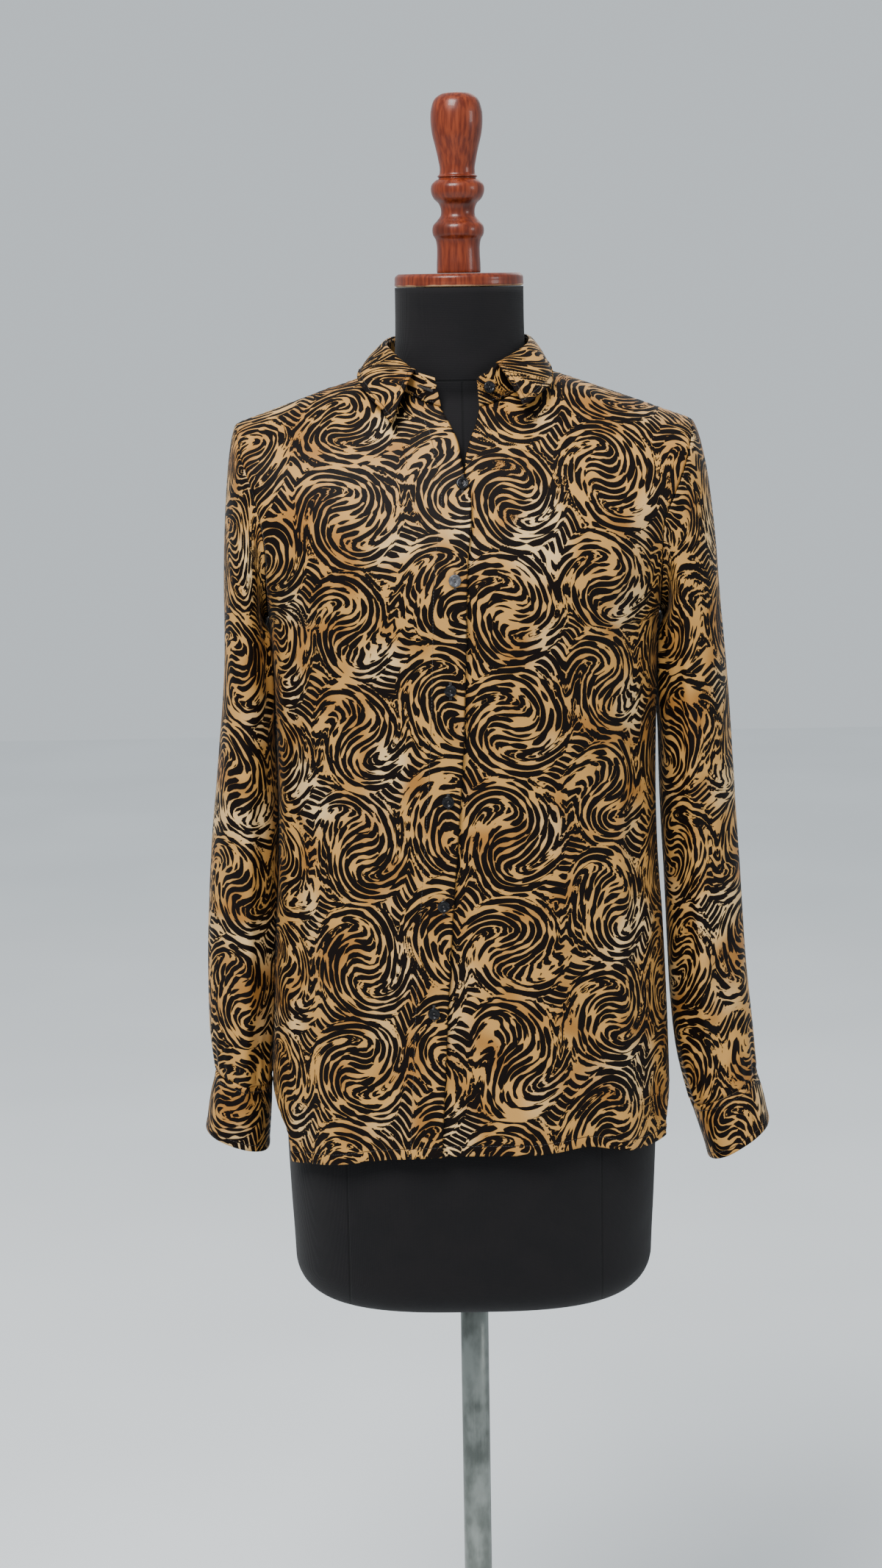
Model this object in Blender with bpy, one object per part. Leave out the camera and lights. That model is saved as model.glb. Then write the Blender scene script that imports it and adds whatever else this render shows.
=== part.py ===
"""A long-sleeved blouse with a turned-down collar, worn by a limbless dress form on a pole and a round base.

Sizes are in metres. Z is up, the front of the blouse faces minus Y, and X runs to the viewer's right.
The floor is at zero and the pole stands on the Z axis.
Cloth is a wall of one thickness. Neighbouring pieces stand a small seam gap apart.
"""
import math

import bpy
import numpy as np

for old_object in list(bpy.data.objects):
    bpy.data.objects.remove(old_object, do_unlink=True)

CLOTH_THICKNESS = 0.0012
SEAM_GAP = 0.0005
CLEARANCE = 0.0008

# Torso of the blouse, by height: half width at the side seams, depth to the front and to the back.
TORSO = {
    "height": (
        0.730, 0.800, 0.850, 0.900, 0.950, 1.000, 1.050, 1.100, 1.160, 1.205, 1.215,
        1.250, 1.300, 1.340, 1.360, 1.480),
    "half_width": (
        0.1785, 0.1780, 0.1765, 0.1745, 0.1720, 0.1685, 0.1668, 0.1668, 0.1685, 0.1698, 0.1704,
        0.1810, 0.2150, 0.2740, 0.3300, 0.4000),
    "front_depth": (
        0.1240, 0.1235, 0.1230, 0.1230, 0.1230, 0.1235, 0.1245, 0.1265, 0.1300, 0.1333, 0.1340,
        0.1385, 0.1400, 0.1400, 0.1400, 0.1400),
    "back_depth": (
        0.1200, 0.1190, 0.1175, 0.1150, 0.1110, 0.1070, 0.1050, 0.1060, 0.1090, 0.1125, 0.1130,
        0.1160, 0.1180, 0.1180, 0.1180, 0.1180),
}
PLAN_POWER = 2.35
CROWN_POWER = 1.7
UNDERARM_HEIGHT = 1.215
RIDGE_HEIGHT = 1.4546
SHOULDER_SLOPE = 0.3594
RIDGE_ROUNDING = 0.0006
NECK_POINT = 0.067
NECK_FRONT_DEPTH = 0.0735
NECK_BACK_DEPTH = 0.0600

# Edge of the torso at the armholes, by height, for the viewer's left and right.
ARMHOLE = {
    "height": (1.215, 1.250, 1.280, 1.300, 1.320, 1.340, 1.360, 1.385, 1.460),
    "left": (0.1704, 0.1697, 0.1688, 0.1712, 0.1755, 0.1815, 0.1885, 0.1940, 0.2000),
    "right": (0.1704, 0.1694, 0.1688, 0.1700, 0.1780, 0.1865, 0.1930, 0.1995, 0.2050),
}

# The side vents: half width of the panels' side edges below the vent's top.
VENT_HEIGHT = 0.797
VENT = {
    "height": (0.730, 0.752, 0.766, 0.784, 0.797),
    "left": (0.1605, 0.1615, 0.1640, 0.1730, 0.1780),
    "right": (0.1725, 0.1730, 0.1740, 0.1768, 0.1780),
}
HEM = {
    "across": (-0.180, -0.156, -0.140, -0.115, -0.080, -0.030, 0.035, 0.075, 0.100, 0.135, 0.180),
    "height": (0.7400, 0.7410, 0.7440, 0.7490, 0.7550, 0.7600, 0.7600, 0.7605, 0.7620, 0.7540, 0.7520),
}

# Free edges of the two fronts, by height. The wearer's right front laps over the left one.
LAPPING_EDGE = {
    "height": (
        0.730, 0.770, 0.848, 0.938, 1.002, 1.066, 1.128, 1.190, 1.276,
        1.312, 1.330, 1.343, 1.355, 1.371, 1.384, 1.397, 1.430),
    "across": (
        -0.0285, -0.0262, -0.0217, -0.0164, -0.0116, -0.0064, -0.0024, 0.0000, 0.0032,
        0.0064, 0.0058, 0.0018, -0.0010, -0.0040, -0.0100, -0.0173, -0.0240),
}
LAPPED_EDGE = {
    "height": (
        0.730, 0.770, 0.848, 0.938, 1.002, 1.066, 1.128, 1.190, 1.250,
        1.290, 1.320, 1.3445, 1.358, 1.372, 1.385, 1.394, 1.430),
    "across": (
        -0.0530, -0.0510, -0.0465, -0.0415, -0.0365, -0.0310, -0.0270, -0.0245, -0.0195,
        -0.0130, -0.0055, 0.0015, 0.0028, 0.0068, 0.0120, 0.0145, 0.0160),
}
LAP_RISE = 0.0024
LAP_RUN = 0.030
LAP_MARGIN = 0.005

# Soft folds of the torso: place across at the bust and at the hem, width, rise outwards and where they begin.
TORSO_FOLDS = {
    "top": (-0.143, -0.112, -0.070, 0.045, 0.095, 0.134),
    "hem": (-0.148, -0.116, -0.074, 0.050, 0.100, 0.136),
    "width": (0.0130, 0.0160, 0.0180, 0.0200, 0.0150, 0.0140),
    "rise": (-0.0034, 0.0030, -0.0022, 0.0026, -0.0026, 0.0032),
    "start": (1.22, 1.16, 1.10, 1.05, 1.12, 1.18),
}
BACK_FOLDS = {
    "top": (-0.095, -0.040, 0.015, 0.070, 0.115),
    "hem": (-0.110, -0.046, 0.018, 0.078, 0.125),
    "width": (0.0180, 0.0180, 0.0180, 0.0180, 0.0150),
    "rise": (0.0030, -0.0022, 0.0030, -0.0024, 0.0028),
    "start": (1.20, 1.15, 1.20, 1.15, 1.20),
}
FOLD_BLEND = 0.30

# Sleeve sections from the underarm to the cuff seam: centre height, edges across, edges in depth and tilt.
SLEEVE_LEFT_VIEW = {
    "height": (1.205, 1.160, 1.100, 1.040, 0.980, 0.920, 0.870, 0.835, 0.8065),
    "outer": (0.2090, 0.2107, 0.2175, 0.2240, 0.2292, 0.2320, 0.2326, 0.2322, 0.2285),
    "inner": (0.1680, 0.1672, 0.1650, 0.1640, 0.1645, 0.1668, 0.1692, 0.1750, 0.1785),
    "front": (0.0660, 0.0660, 0.0635, 0.0605, 0.0580, 0.0560, 0.0545, 0.0525, 0.0490),
    "back": (0.0620, 0.0600, 0.0560, 0.0520, 0.0490, 0.0470, 0.0450, 0.0430, 0.0410),
    "tilt": (0.00, 0.00, 0.00, 0.00, 0.02, 0.05, 0.10, 0.18, 0.24),
}
SLEEVE_RIGHT_VIEW = {
    "height": (1.205, 1.160, 1.100, 1.040, 0.980, 0.920, 0.870, 0.830, 0.7880),
    "outer": (0.2240, 0.2280, 0.2335, 0.2376, 0.2418, 0.2450, 0.2492, 0.2530, 0.2560),
    "inner": (0.1685, 0.1690, 0.1695, 0.1710, 0.1742, 0.1768, 0.1795, 0.1845, 0.1965),
    "front": (0.0660, 0.0660, 0.0635, 0.0605, 0.0580, 0.0560, 0.0545, 0.0525, 0.0490),
    "back": (0.0620, 0.0600, 0.0560, 0.0520, 0.0490, 0.0470, 0.0450, 0.0430, 0.0410),
    "tilt": (0.00, 0.00, 0.00, 0.00, 0.02, 0.06, 0.12, 0.28, 0.48),
}
CUFF_LEFT_VIEW = {
    "height": (0.8060, 0.7800, 0.7480),
    "outer": (0.2280, 0.2335, 0.2385),
    "inner": (0.1788, 0.1800, 0.1825),
    "front": (0.0490, 0.0485, 0.0480),
    "back": (0.0410, 0.0405, 0.0400),
    "tilt": (0.24, 0.30, 0.36),
}
CUFF_RIGHT_VIEW = {
    "height": (0.7875, 0.7650, 0.7400),
    "outer": (0.2555, 0.2620, 0.2670),
    "inner": (0.1970, 0.2050, 0.2130),
    "front": (0.0490, 0.0485, 0.0480),
    "back": (0.0410, 0.0405, 0.0400),
    "tilt": (0.48, 0.56, 0.64),
}
CUFF_GAP = 0.0004
UNDERARM_LIFT = 0.012
SLEEVE_START = 0.012
SLEEVE_POWER = 2.25

# Long creases of the sleeves: place round the section in degrees from outside through the front, and depth.
CREASES_LEFT_VIEW = {
    "place": (97.0, 55.0, 135.0, 250.0),
    "width": (17.0, 22.0, 20.0, 26.0),
    "rise": (-0.0060, 0.0035, 0.0030, -0.0050),
    "top": (1.10, 1.05, 1.02, 1.10),
    "bottom": (0.80, 0.86, 0.84, 0.86),
}
CREASES_RIGHT_VIEW = {
    "place": (100.0, 60.0, 140.0, 250.0),
    "width": (17.0, 24.0, 20.0, 26.0),
    "rise": (-0.0060, 0.0030, 0.0030, -0.0050),
    "top": (1.28, 1.10, 1.10, 1.10),
    "bottom": (0.86, 0.86, 0.86, 0.86),
}
CREASE_BLEND = 0.08

# Collar: the stand's upper edge and the leaf's lower edge, from the viewer's left front round the back.
STAND_TOP = {
    "along": (0.000, 0.055, 0.160, 0.270, 0.400, 0.525, 0.650, 0.780, 0.880, 0.955, 1.000),
    "x": (-0.0225, -0.0380, -0.0575, -0.0640, -0.0470, 0.0000, 0.0470, 0.0600, 0.0520, 0.0300, 0.0134),
    "y": (-0.0680, -0.0600, -0.0330, 0.0000, 0.0430, 0.0615, 0.0430, 0.0000, -0.0350, -0.0600, -0.0690),
    "z": (1.4225, 1.4275, 1.4420, 1.4505, 1.4550, 1.4560, 1.4550, 1.4515, 1.4435, 1.4320, 1.4215),
}
LEAF_EDGE = {
    "along": (0.055, 0.090, 0.120, 0.160, 0.270, 0.400, 0.525, 0.650, 0.780, 0.870, 0.920, 0.955),
    "x": (
        -0.0568, -0.0650, -0.0745, -0.0835, -0.0862, -0.0672,
        0.0000, 0.0665, 0.0752, 0.0752, 0.0640, 0.0500),
    "y": (
        -0.0830, -0.0700, -0.0580, -0.0400, -0.0020, 0.0550,
        0.0760, 0.0550, -0.0020, -0.0420, -0.0640, -0.0830),
    "z": (
        1.3850, 1.3925, 1.4000, 1.4090, 1.4235, 1.4150,
        1.4110, 1.4150, 1.4260, 1.4150, 1.4065, 1.3970),
}
LEAF_BULGE = 0.0040
LEAF_BULGE_UP = 0.0016
LEAF_ROLL = 0.0042
LEAF_CREST = 0.0012
LEAF_DROP = 0.0012
STAND_GAP = 0.0008

# Buttons of the front: place across and height. The last row is the button of the collar stand.
FRONT_BUTTONS = {
    "across": (-0.0006, -0.0083, -0.0134, -0.0168, -0.0220, -0.0317),
    "height": (1.3365, 1.2583, 1.1663, 1.0714, 0.9810, 0.8876),
}
BUTTON_PROFILE = {
    "radius": (0.0046, 0.0053, 0.0053, 0.0046),
    "height": (0.0000, 0.0006, 0.0016, 0.0022),
}
BUTTON_GAP = 0.0005
STAND_BUTTON_ALONG = 0.975
STAND_BUTTON_RISE = 0.50

# Dress form, by height: half width, depth to the front and to the back.
FORM = {
    "height": (
        0.603, 0.640, 0.700, 0.760, 0.820, 0.880, 0.940, 1.000, 1.050, 1.100, 1.160, 1.220,
        1.270, 1.320, 1.360, 1.400, 1.500),
    "half_width": (
        0.1605, 0.1612, 0.1640, 0.1660, 0.1655, 0.1600, 0.1490, 0.1360, 0.1300, 0.1340, 0.1440,
        0.1520, 0.1580, 0.1660, 0.1720, 0.1760, 0.1760),
    "front_depth": (
        0.1080, 0.1090, 0.1110, 0.1120, 0.1110, 0.1070, 0.1010, 0.0960, 0.0950, 0.1000, 0.1140,
        0.1240, 0.1300, 0.1300, 0.1300, 0.1300, 0.1300),
    "back_depth": (
        0.1080, 0.1100, 0.1130, 0.1140, 0.1120, 0.1050, 0.0960, 0.0880, 0.0850, 0.0880, 0.0960,
        0.1030, 0.1070, 0.1080, 0.1080, 0.1080, 0.1080),
}
FORM_BOTTOM = 0.603
FORM_EDGE_RADIUS = 0.035
FORM_INSET = 0.0048
FORM_LIMIT = 0.300
NECK_RADIUS = 0.0552
NECK_START = 1.3400
NECK_FLARE_START = 1.4100
NECK_FLARE_HEIGHT = 1.4300
NECK_FLARE_LENGTH = 0.0140
NECK_FLARE = 0.0025
FORM_SHOULDER_END = 0.0040
FORM_LEVELS = (
    0.665, 0.707, 0.749, 0.791, 0.833, 0.875, 0.917, 0.959, 1.001, 1.043, 1.085, 1.127, 1.169, 1.211, 1.253,
    1.295, 1.337, 1.352, 1.359, 1.366, 1.372, 1.379, 1.386, 1.393, 1.400, 1.406, 1.413, 1.420, 1.426, 1.434,
    1.446, 1.497)
EDGE_ROWS = 6
REACH_STEPS = 40

NECK_PLATE = {
    "radius": (0.0000, 0.0530, 0.0550, 0.0552, 0.0548, 0.0520, 0.0000),
    "height": (1.4973, 1.4973, 1.4982, 1.5020, 1.5060, 1.5085, 1.5085),
}
FINIAL = {
    "radius": (
        0.0000, 0.0185, 0.0188, 0.0184, 0.0186, 0.0196, 0.0216, 0.0222, 0.0214, 0.0180, 0.0148,
        0.0146, 0.0162, 0.0205, 0.0228, 0.0222, 0.0185, 0.0160, 0.0172, 0.0156, 0.0150, 0.0162,
        0.0186, 0.0210, 0.0222, 0.0216, 0.0184, 0.0120, 0.0000),
    "height": (
        1.5088, 1.5088, 1.5150, 1.5250, 1.5330, 1.5375, 1.5410, 1.5450, 1.5490, 1.5530, 1.5575,
        1.5625, 1.5670, 1.5715, 1.5775, 1.5830, 1.5868, 1.5885, 1.5900, 1.5915, 1.5950, 1.6040,
        1.6150, 1.6250, 1.6370, 1.6460, 1.6545, 1.6590, 1.6605),
}
POLE_RADIUS = 0.0127
POLE_TOP = 0.6027
POLE_BOTTOM = 0.0123
BASE = {
    "radius": (0.0000, 0.1780, 0.1800, 0.1800, 0.1770, 0.0400, 0.0240, 0.0225, 0.0210, 0.0132, 0.0132, 0.0000),
    "height": (0.0000, 0.0000, 0.0020, 0.0060, 0.0080, 0.0120, 0.0140, 0.0480, 0.0500, 0.0500, 0.0120, 0.0120),
}

CENTRE_COLUMNS = 6
SIDE_COLUMNS = 7
VENT_ROWS = 2
LOWER_ROWS = 12
UPPER_ROWS = 11
LOOP_POINTS = 26
FAN_ROWS = 6
SLEEVE_ROWS = 15
CUFF_ROWS = 3
STAND_COLUMNS = 28
STAND_ROWS = 3
LEAF_COLUMNS = 27
LEAF_ROWS = 5
FORM_SEGMENTS = 32
FINE_SEGMENTS = 32
ROUND_SEGMENTS = 20
BASE_SEGMENTS = 40
BUTTON_SEGMENTS = 12
SETTLE_STEPS = 12
SECTION_STEPS = 720
SLOPE_STEP = 0.0005
SMALLEST = 1e-6
FIRST_TOP = 1.40
FIRST_HEM = 0.76
NECK_BUNCHING = 0.75
SLEEVE_REACH = 0.65
SLEEVE_DEPTH_BLEND = 0.55
SLEEVE_FALL = 0.10
LIFT_END = 0.35
STEEPEST = 9.0
EDGE_STILLNESS = 8


def curve(table, name, place, key="height"):
    """A smooth line through one column of a table, held level past its ends."""
    xs = np.asarray(table[key], float)
    ys = np.asarray(table[name], float)
    q = np.clip(np.asarray(place, float), xs[0], xs[-1])
    slope = np.gradient(ys, xs)
    i = np.clip(np.searchsorted(xs, q, side="right") - 1, 0, len(xs) - 2)
    h = xs[i + 1] - xs[i]
    t = (q - xs[i]) / h
    a = (1 + 2 * t) * (1 - t) ** 2
    b = t * (1 - t) ** 2
    c = t * t * (3 - 2 * t)
    d = t * t * (t - 1)
    return a * ys[i] + b * h * slope[i] + c * ys[i + 1] + d * h * slope[i + 1]


def ease(value, start, end):
    """Zero before the start, one past the end and smooth between."""
    t = np.clip((value - start) / (end - start), 0, 1)
    return t * t * (3 - 2 * t)


def ridge(across):
    """Height of the shoulder line above each place across."""
    return RIDGE_HEIGHT - SHOULDER_SLOPE * np.sqrt(across * across + RIDGE_ROUNDING)


def crown(across, height):
    """One below the underarm, falling to zero at the shoulder line."""
    t = np.clip((height - UNDERARM_HEIGHT) / (ridge(across) - UNDERARM_HEIGHT), 0, 1)
    return np.clip(1 - t ** CROWN_POWER, 0, 1) ** (1 / CROWN_POWER)


def plan(across, height):
    """One at the centre, falling to zero at the side."""
    q = np.clip(np.abs(across) / curve(TORSO, "half_width", height), 0, 1)
    return np.clip(1 - q ** PLAN_POWER, 0, 1) ** (1 / PLAN_POWER)


def torso_depth(across, height, column):
    """Distance of the torso's cloth from the plane of the side seams, before its folds."""
    return curve(TORSO, column, height) * plan(across, height) * crown(across, height)


def height_on_torso(across, depth, column):
    """Height at which the upper torso has the depth given."""
    height = np.full(np.shape(across), FIRST_TOP)
    for _ in range(SETTLE_STEPS):
        level = curve(TORSO, column, height) * plan(across, height)
        part = np.clip(depth / np.maximum(level, SMALLEST), 0, 1)
        t = (1 - part ** CROWN_POWER) ** (1 / CROWN_POWER)
        height = UNDERARM_HEIGHT + t * (ridge(across) - UNDERARM_HEIGHT)
    return height


def fold_rise(table, across, height):
    """Rise of the soft folds, growing towards the hem."""
    total = np.zeros(np.broadcast(across, height).shape)
    names = ("top", "hem", "width", "rise", "start")
    for top, hem, width, rise, start in zip(*(table[name] for name in names)):
        fall = np.clip((UNDERARM_HEIGHT - height) / (UNDERARM_HEIGHT - FIRST_HEM), 0, 1)
        middle = top + (hem - top) * fall
        strength = ease(-height, -start, -start + FOLD_BLEND)
        total = total + rise * strength * np.exp(-((across - middle) / width) ** 2)
    share = np.clip(np.abs(across) / curve(TORSO, "half_width", height), 0, 1)
    return total * (1 - share ** EDGE_STILLNESS)


def lap_rise(across, height):
    """How far the lapping front stands off where it covers the other front."""
    edge = curve(LAPPED_EDGE, "across", height)
    return LAP_RISE * ease(across, edge - LAP_RUN, edge - LAP_MARGIN)


def half_panel(side, front, inner_table):
    """Grid of half the torso: rows from the hem to the neck and shoulder, columns from centre to side."""
    column = "front_depth" if front else "back_depth"
    label = "left" if side < 0 else "right"
    neck_depth = NECK_FRONT_DEPTH if front else NECK_BACK_DEPTH

    def inner(height):
        if inner_table is None:
            return np.zeros(np.shape(height))
        return side * curve(inner_table, "across", height)

    def outer(height):
        seam = curve(TORSO, "half_width", height)
        vent = curve(VENT, label, height)
        arm = curve(ARMHOLE, label, height)
        return np.where(height > UNDERARM_HEIGHT, arm, np.where(height < VENT_HEIGHT, vent, seam))

    def across(height, share):
        half = curve(TORSO, "half_width", height)
        low = np.arcsin(np.clip(inner(height) / half, -1, 1))
        high = np.arcsin(np.clip(outer(height) / half, -1, 1))
        return half * np.sin(low + share * (high - low))

    neck_height = float(ridge(np.array(NECK_POINT)))
    half = float(curve(TORSO, "half_width", neck_height))
    low = math.asin(float(inner(np.array(neck_height))) / half)
    high = math.asin(float(outer(np.array(neck_height))) / half)
    neck_share = (math.asin(NECK_POINT / half) - low) / (high - low)
    even = np.linspace(0, 1, CENTRE_COLUMNS + 1)
    bunched = (1 - NECK_BUNCHING) * even + NECK_BUNCHING * np.sin(even * math.pi / 2)
    centre = neck_share * bunched
    sideways = neck_share + (1 - neck_share) * np.linspace(0, 1, SIDE_COLUMNS + 1)[1:]
    share = np.concatenate([centre, sideways])
    on_neck = np.arange(len(share)) < CENTRE_COLUMNS
    top = np.full(len(share), FIRST_TOP)
    for _ in range(SETTLE_STEPS):
        x = across(top, share)
        dip = neck_depth * np.sqrt(np.clip(1 - (x / NECK_POINT) ** 2, 0, 1))
        top = np.where(on_neck, height_on_torso(x, dip, column), ridge(x))
    hem = np.full(len(share), FIRST_HEM)
    for _ in range(SETTLE_STEPS):
        hem = curve(HEM, "height", side * across(hem, share), "across")
    vent_rows = np.linspace(0, 1, VENT_ROWS + 1)[:-1, None]
    rows_low = np.linspace(0, 1, LOWER_ROWS - VENT_ROWS + 1)[:, None]
    low_part = np.concatenate([
        hem + vent_rows * (VENT_HEIGHT - hem),
        VENT_HEIGHT + rows_low * (UNDERARM_HEIGHT - VENT_HEIGHT) + 0 * hem])
    rows_high = np.linspace(0, 1, UPPER_ROWS + 1)[1:, None]
    reach = np.clip((top - UNDERARM_HEIGHT) / (ridge(across(top, share)) - UNDERARM_HEIGHT), 0, 1)
    turn = np.arcsin(np.clip(reach, 0, 1) ** (CROWN_POWER / 2))
    level = np.sin(rows_high * turn) ** (2 / CROWN_POWER)
    high_part = np.broadcast_to(top, level.shape).copy()
    for _ in range(SETTLE_STEPS):
        high_part = UNDERARM_HEIGHT + level * (ridge(across(high_part, share)) - UNDERARM_HEIGHT)
    z = np.concatenate([low_part, high_part])
    x = across(z, np.broadcast_to(share, z.shape))
    depth = torso_depth(x, z, column)
    signed = side * x
    depth = depth + fold_rise(TORSO_FOLDS if front else BACK_FOLDS, signed, z)
    if inner_table is LAPPING_EDGE:
        depth = depth + lap_rise(signed, z)
    direction = -1 if front else 1
    y = direction * (depth + SEAM_GAP / 2)
    return np.stack([signed, y, z], axis=-1)


def normals(grid, closed):
    """Unit normals of a grid, from its rows crossed with its columns."""
    along_rows = np.gradient(grid, axis=0)
    if closed:
        along_columns = (np.roll(grid, -1, axis=1) - np.roll(grid, 1, axis=1)) / 2
    else:
        along_columns = np.gradient(grid, axis=1)
    cross = np.cross(along_columns, along_rows)
    return cross / np.linalg.norm(cross, axis=-1, keepdims=True)


def add_object(name, points, faces, material, place):
    """An object in the scene with one mesh, one material and words for its place."""
    mesh = bpy.data.meshes.new(name)
    mesh.from_pydata([tuple(p) for p in points], [], faces)
    mesh.update()
    for polygon in mesh.polygons:
        polygon.use_smooth = True
    item = bpy.data.objects.new(name, mesh)
    bpy.context.scene.collection.objects.link(item)
    mesh.materials.append(material)
    item["place"] = place


def ring_solid(name, rings, bottom, top, material, place):
    """A solid through rings that run anticlockwise seen from above, closed by a point at each end."""
    count = rings.shape[1]
    points = [tuple(bottom)] + [tuple(p) for p in rings.reshape(-1, 3)] + [tuple(top)]
    last = len(points) - 1
    highest = 1 + (len(rings) - 1) * count
    faces = []
    for k in range(count):
        n = (k + 1) % count
        faces.append((0, 1 + n, 1 + k))
        for row in range(len(rings) - 1):
            a, b = 1 + row * count + k, 1 + row * count + n
            faces.append((a, b, b + count, a + count))
        faces.append((highest + k, highest + n, last))
    add_object(name, points, faces, material, place)


def wall(name, grid, outward, closed, material, place, upright_rim=False):
    """A closed wall: the grid is its outer face and the inner face lies one thickness inside."""
    normal = normals(grid, closed) * outward
    if upright_rim:
        normal[0, :, 0] = 0
        normal[0] = normal[0] / np.linalg.norm(normal[0], axis=-1, keepdims=True)
    inner = grid - CLOTH_THICKNESS * normal
    rows, columns = grid.shape[:2]
    count = rows * columns
    points = np.concatenate([grid.reshape(-1, 3), inner.reshape(-1, 3)])
    steps = columns if closed else columns - 1
    faces = []

    def number(row, column, layer):
        return layer * count + row * columns + column % columns

    def add(*corners):
        faces.append(corners if outward > 0 else corners[::-1])

    for row in range(rows - 1):
        for column in range(steps):
            a, b = number(row, column, 0), number(row, column + 1, 0)
            c, d = number(row + 1, column + 1, 0), number(row + 1, column, 0)
            if np.linalg.norm(points[a] - points[c]) > np.linalg.norm(points[b] - points[d]):
                a, b, c, d = b, c, d, a
            add(a, b, c)
            add(a, c, d)
            add(c + count, b + count, a + count)
            add(d + count, c + count, a + count)
    for column in range(steps):
        for row, flip in ((0, False), (rows - 1, True)):
            a, b = number(row, column, 0), number(row, column + 1, 0)
            c, d = number(row, column + 1, 1), number(row, column, 1)
            add(*((a, b, c, d) if flip else (d, c, b, a)))
    if not closed:
        for row in range(rows - 1):
            for column, flip in ((0, False), (columns - 1, True)):
                a, b = number(row, column, 0), number(row + 1, column, 0)
                c, d = number(row + 1, column, 1), number(row, column, 1)
                add(*((d, c, b, a) if flip else (a, b, c, d)))
    add_object(name, points, faces, material, place)


def lathe(name, profile, segments, material, place):
    """A solid turned round the Z axis. Its profile of radii and heights starts and ends on the axis."""
    radii = np.asarray(profile["radius"], float)[1:-1, None]
    heights = np.asarray(profile["height"], float)
    angle = np.linspace(0, 2 * math.pi, segments, endpoint=False)
    level = np.broadcast_to(heights[1:-1, None], (len(radii), segments))
    rings = np.stack([radii * np.cos(angle), radii * np.sin(angle), level], axis=-1)
    ring_solid(name, rings, (0, 0, heights[0]), (0, 0, heights[-1]), material, place)


def make_material(name, colour, roughness, metallic=0.0):
    """A plain surface."""
    material = bpy.data.materials.new(name)
    material.use_nodes = True
    shader = material.node_tree.nodes["Principled BSDF"]
    shader.inputs["Base Color"].default_value = (*colour, 1)
    shader.inputs["Roughness"].default_value = roughness
    shader.inputs["Metallic"].default_value = metallic
    return material


def settled_across(height, depth, label):
    """Half width of the torso at a height and depth, never past the armhole's edge."""
    reach = np.where(depth < 0, curve(TORSO, "front_depth", height), curve(TORSO, "back_depth", height))
    q = np.clip(np.abs(depth) / reach, 0, 1)
    share = np.clip(1 - q ** PLAN_POWER, 0, 1) ** (1 / PLAN_POWER)
    side = curve(TORSO, "half_width", height) * share
    arm = np.minimum(side, curve(ARMHOLE, label, height))
    return np.where(height > UNDERARM_HEIGHT, arm, side)


def section_points(table, height, angle, side):
    """Closed sections of a sleeve or cuff by height, first point outside, then front, inside and back."""
    outer = curve(table, "outer", -height)[:, None]
    inner = curve(table, "inner", -height)[:, None]
    front = curve(table, "front", -height)[:, None]
    back = curve(table, "back", -height)[:, None]
    tilt = curve(table, "tilt", -height)[:, None]
    c, s = np.cos(angle), np.sin(angle)
    c = np.sign(c) * np.abs(c) ** (2 / SLEEVE_POWER)
    s = np.sign(s) * np.abs(s) ** (2 / SLEEVE_POWER)
    x = (outer + inner) / 2 + (outer - inner) / 2 * c
    y = (back - front) / 2 - (back + front) / 2 * s
    z = height[:, None] + tilt * (x - (outer + inner) / 2)
    return np.stack([side * x, y, z], axis=-1)


def lowered(table):
    """The table with its heights negated, so that they rise along it."""
    copy = dict(table)
    copy["height"] = tuple(-h for h in table["height"])
    return copy


def crease_rise(table, angle, height):
    """Rise of the long creases of a sleeve."""
    degrees = np.degrees(angle)
    total = np.zeros(np.broadcast(degrees, height).shape)
    names = ("place", "width", "rise", "top", "bottom")
    for place, width, rise, top, bottom in zip(*(table[name] for name in names)):
        away = (degrees - place + 180) % 360 - 180
        above = ease(-height, -top, -top + CREASE_BLEND)
        below = ease(height, bottom - CREASE_BLEND / 2, bottom)
        total = total + rise * above * below * np.exp(-(away / width) ** 2)
    return total


def even_loop(loop):
    """Evenly spaced points round a closed line, and their places as shares of its list."""
    closed = np.concatenate([loop, loop[:1]])
    steps = np.linalg.norm(np.diff(closed, axis=0), axis=1)
    run = np.concatenate([[0], np.cumsum(steps)])
    target = np.arange(LOOP_POINTS) * run[-1] / LOOP_POINTS
    points = np.stack([np.interp(target, run, closed[:, k]) for k in range(3)], axis=-1)
    share = np.interp(target, run, np.arange(len(closed)) / len(loop))
    return points, share


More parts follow.
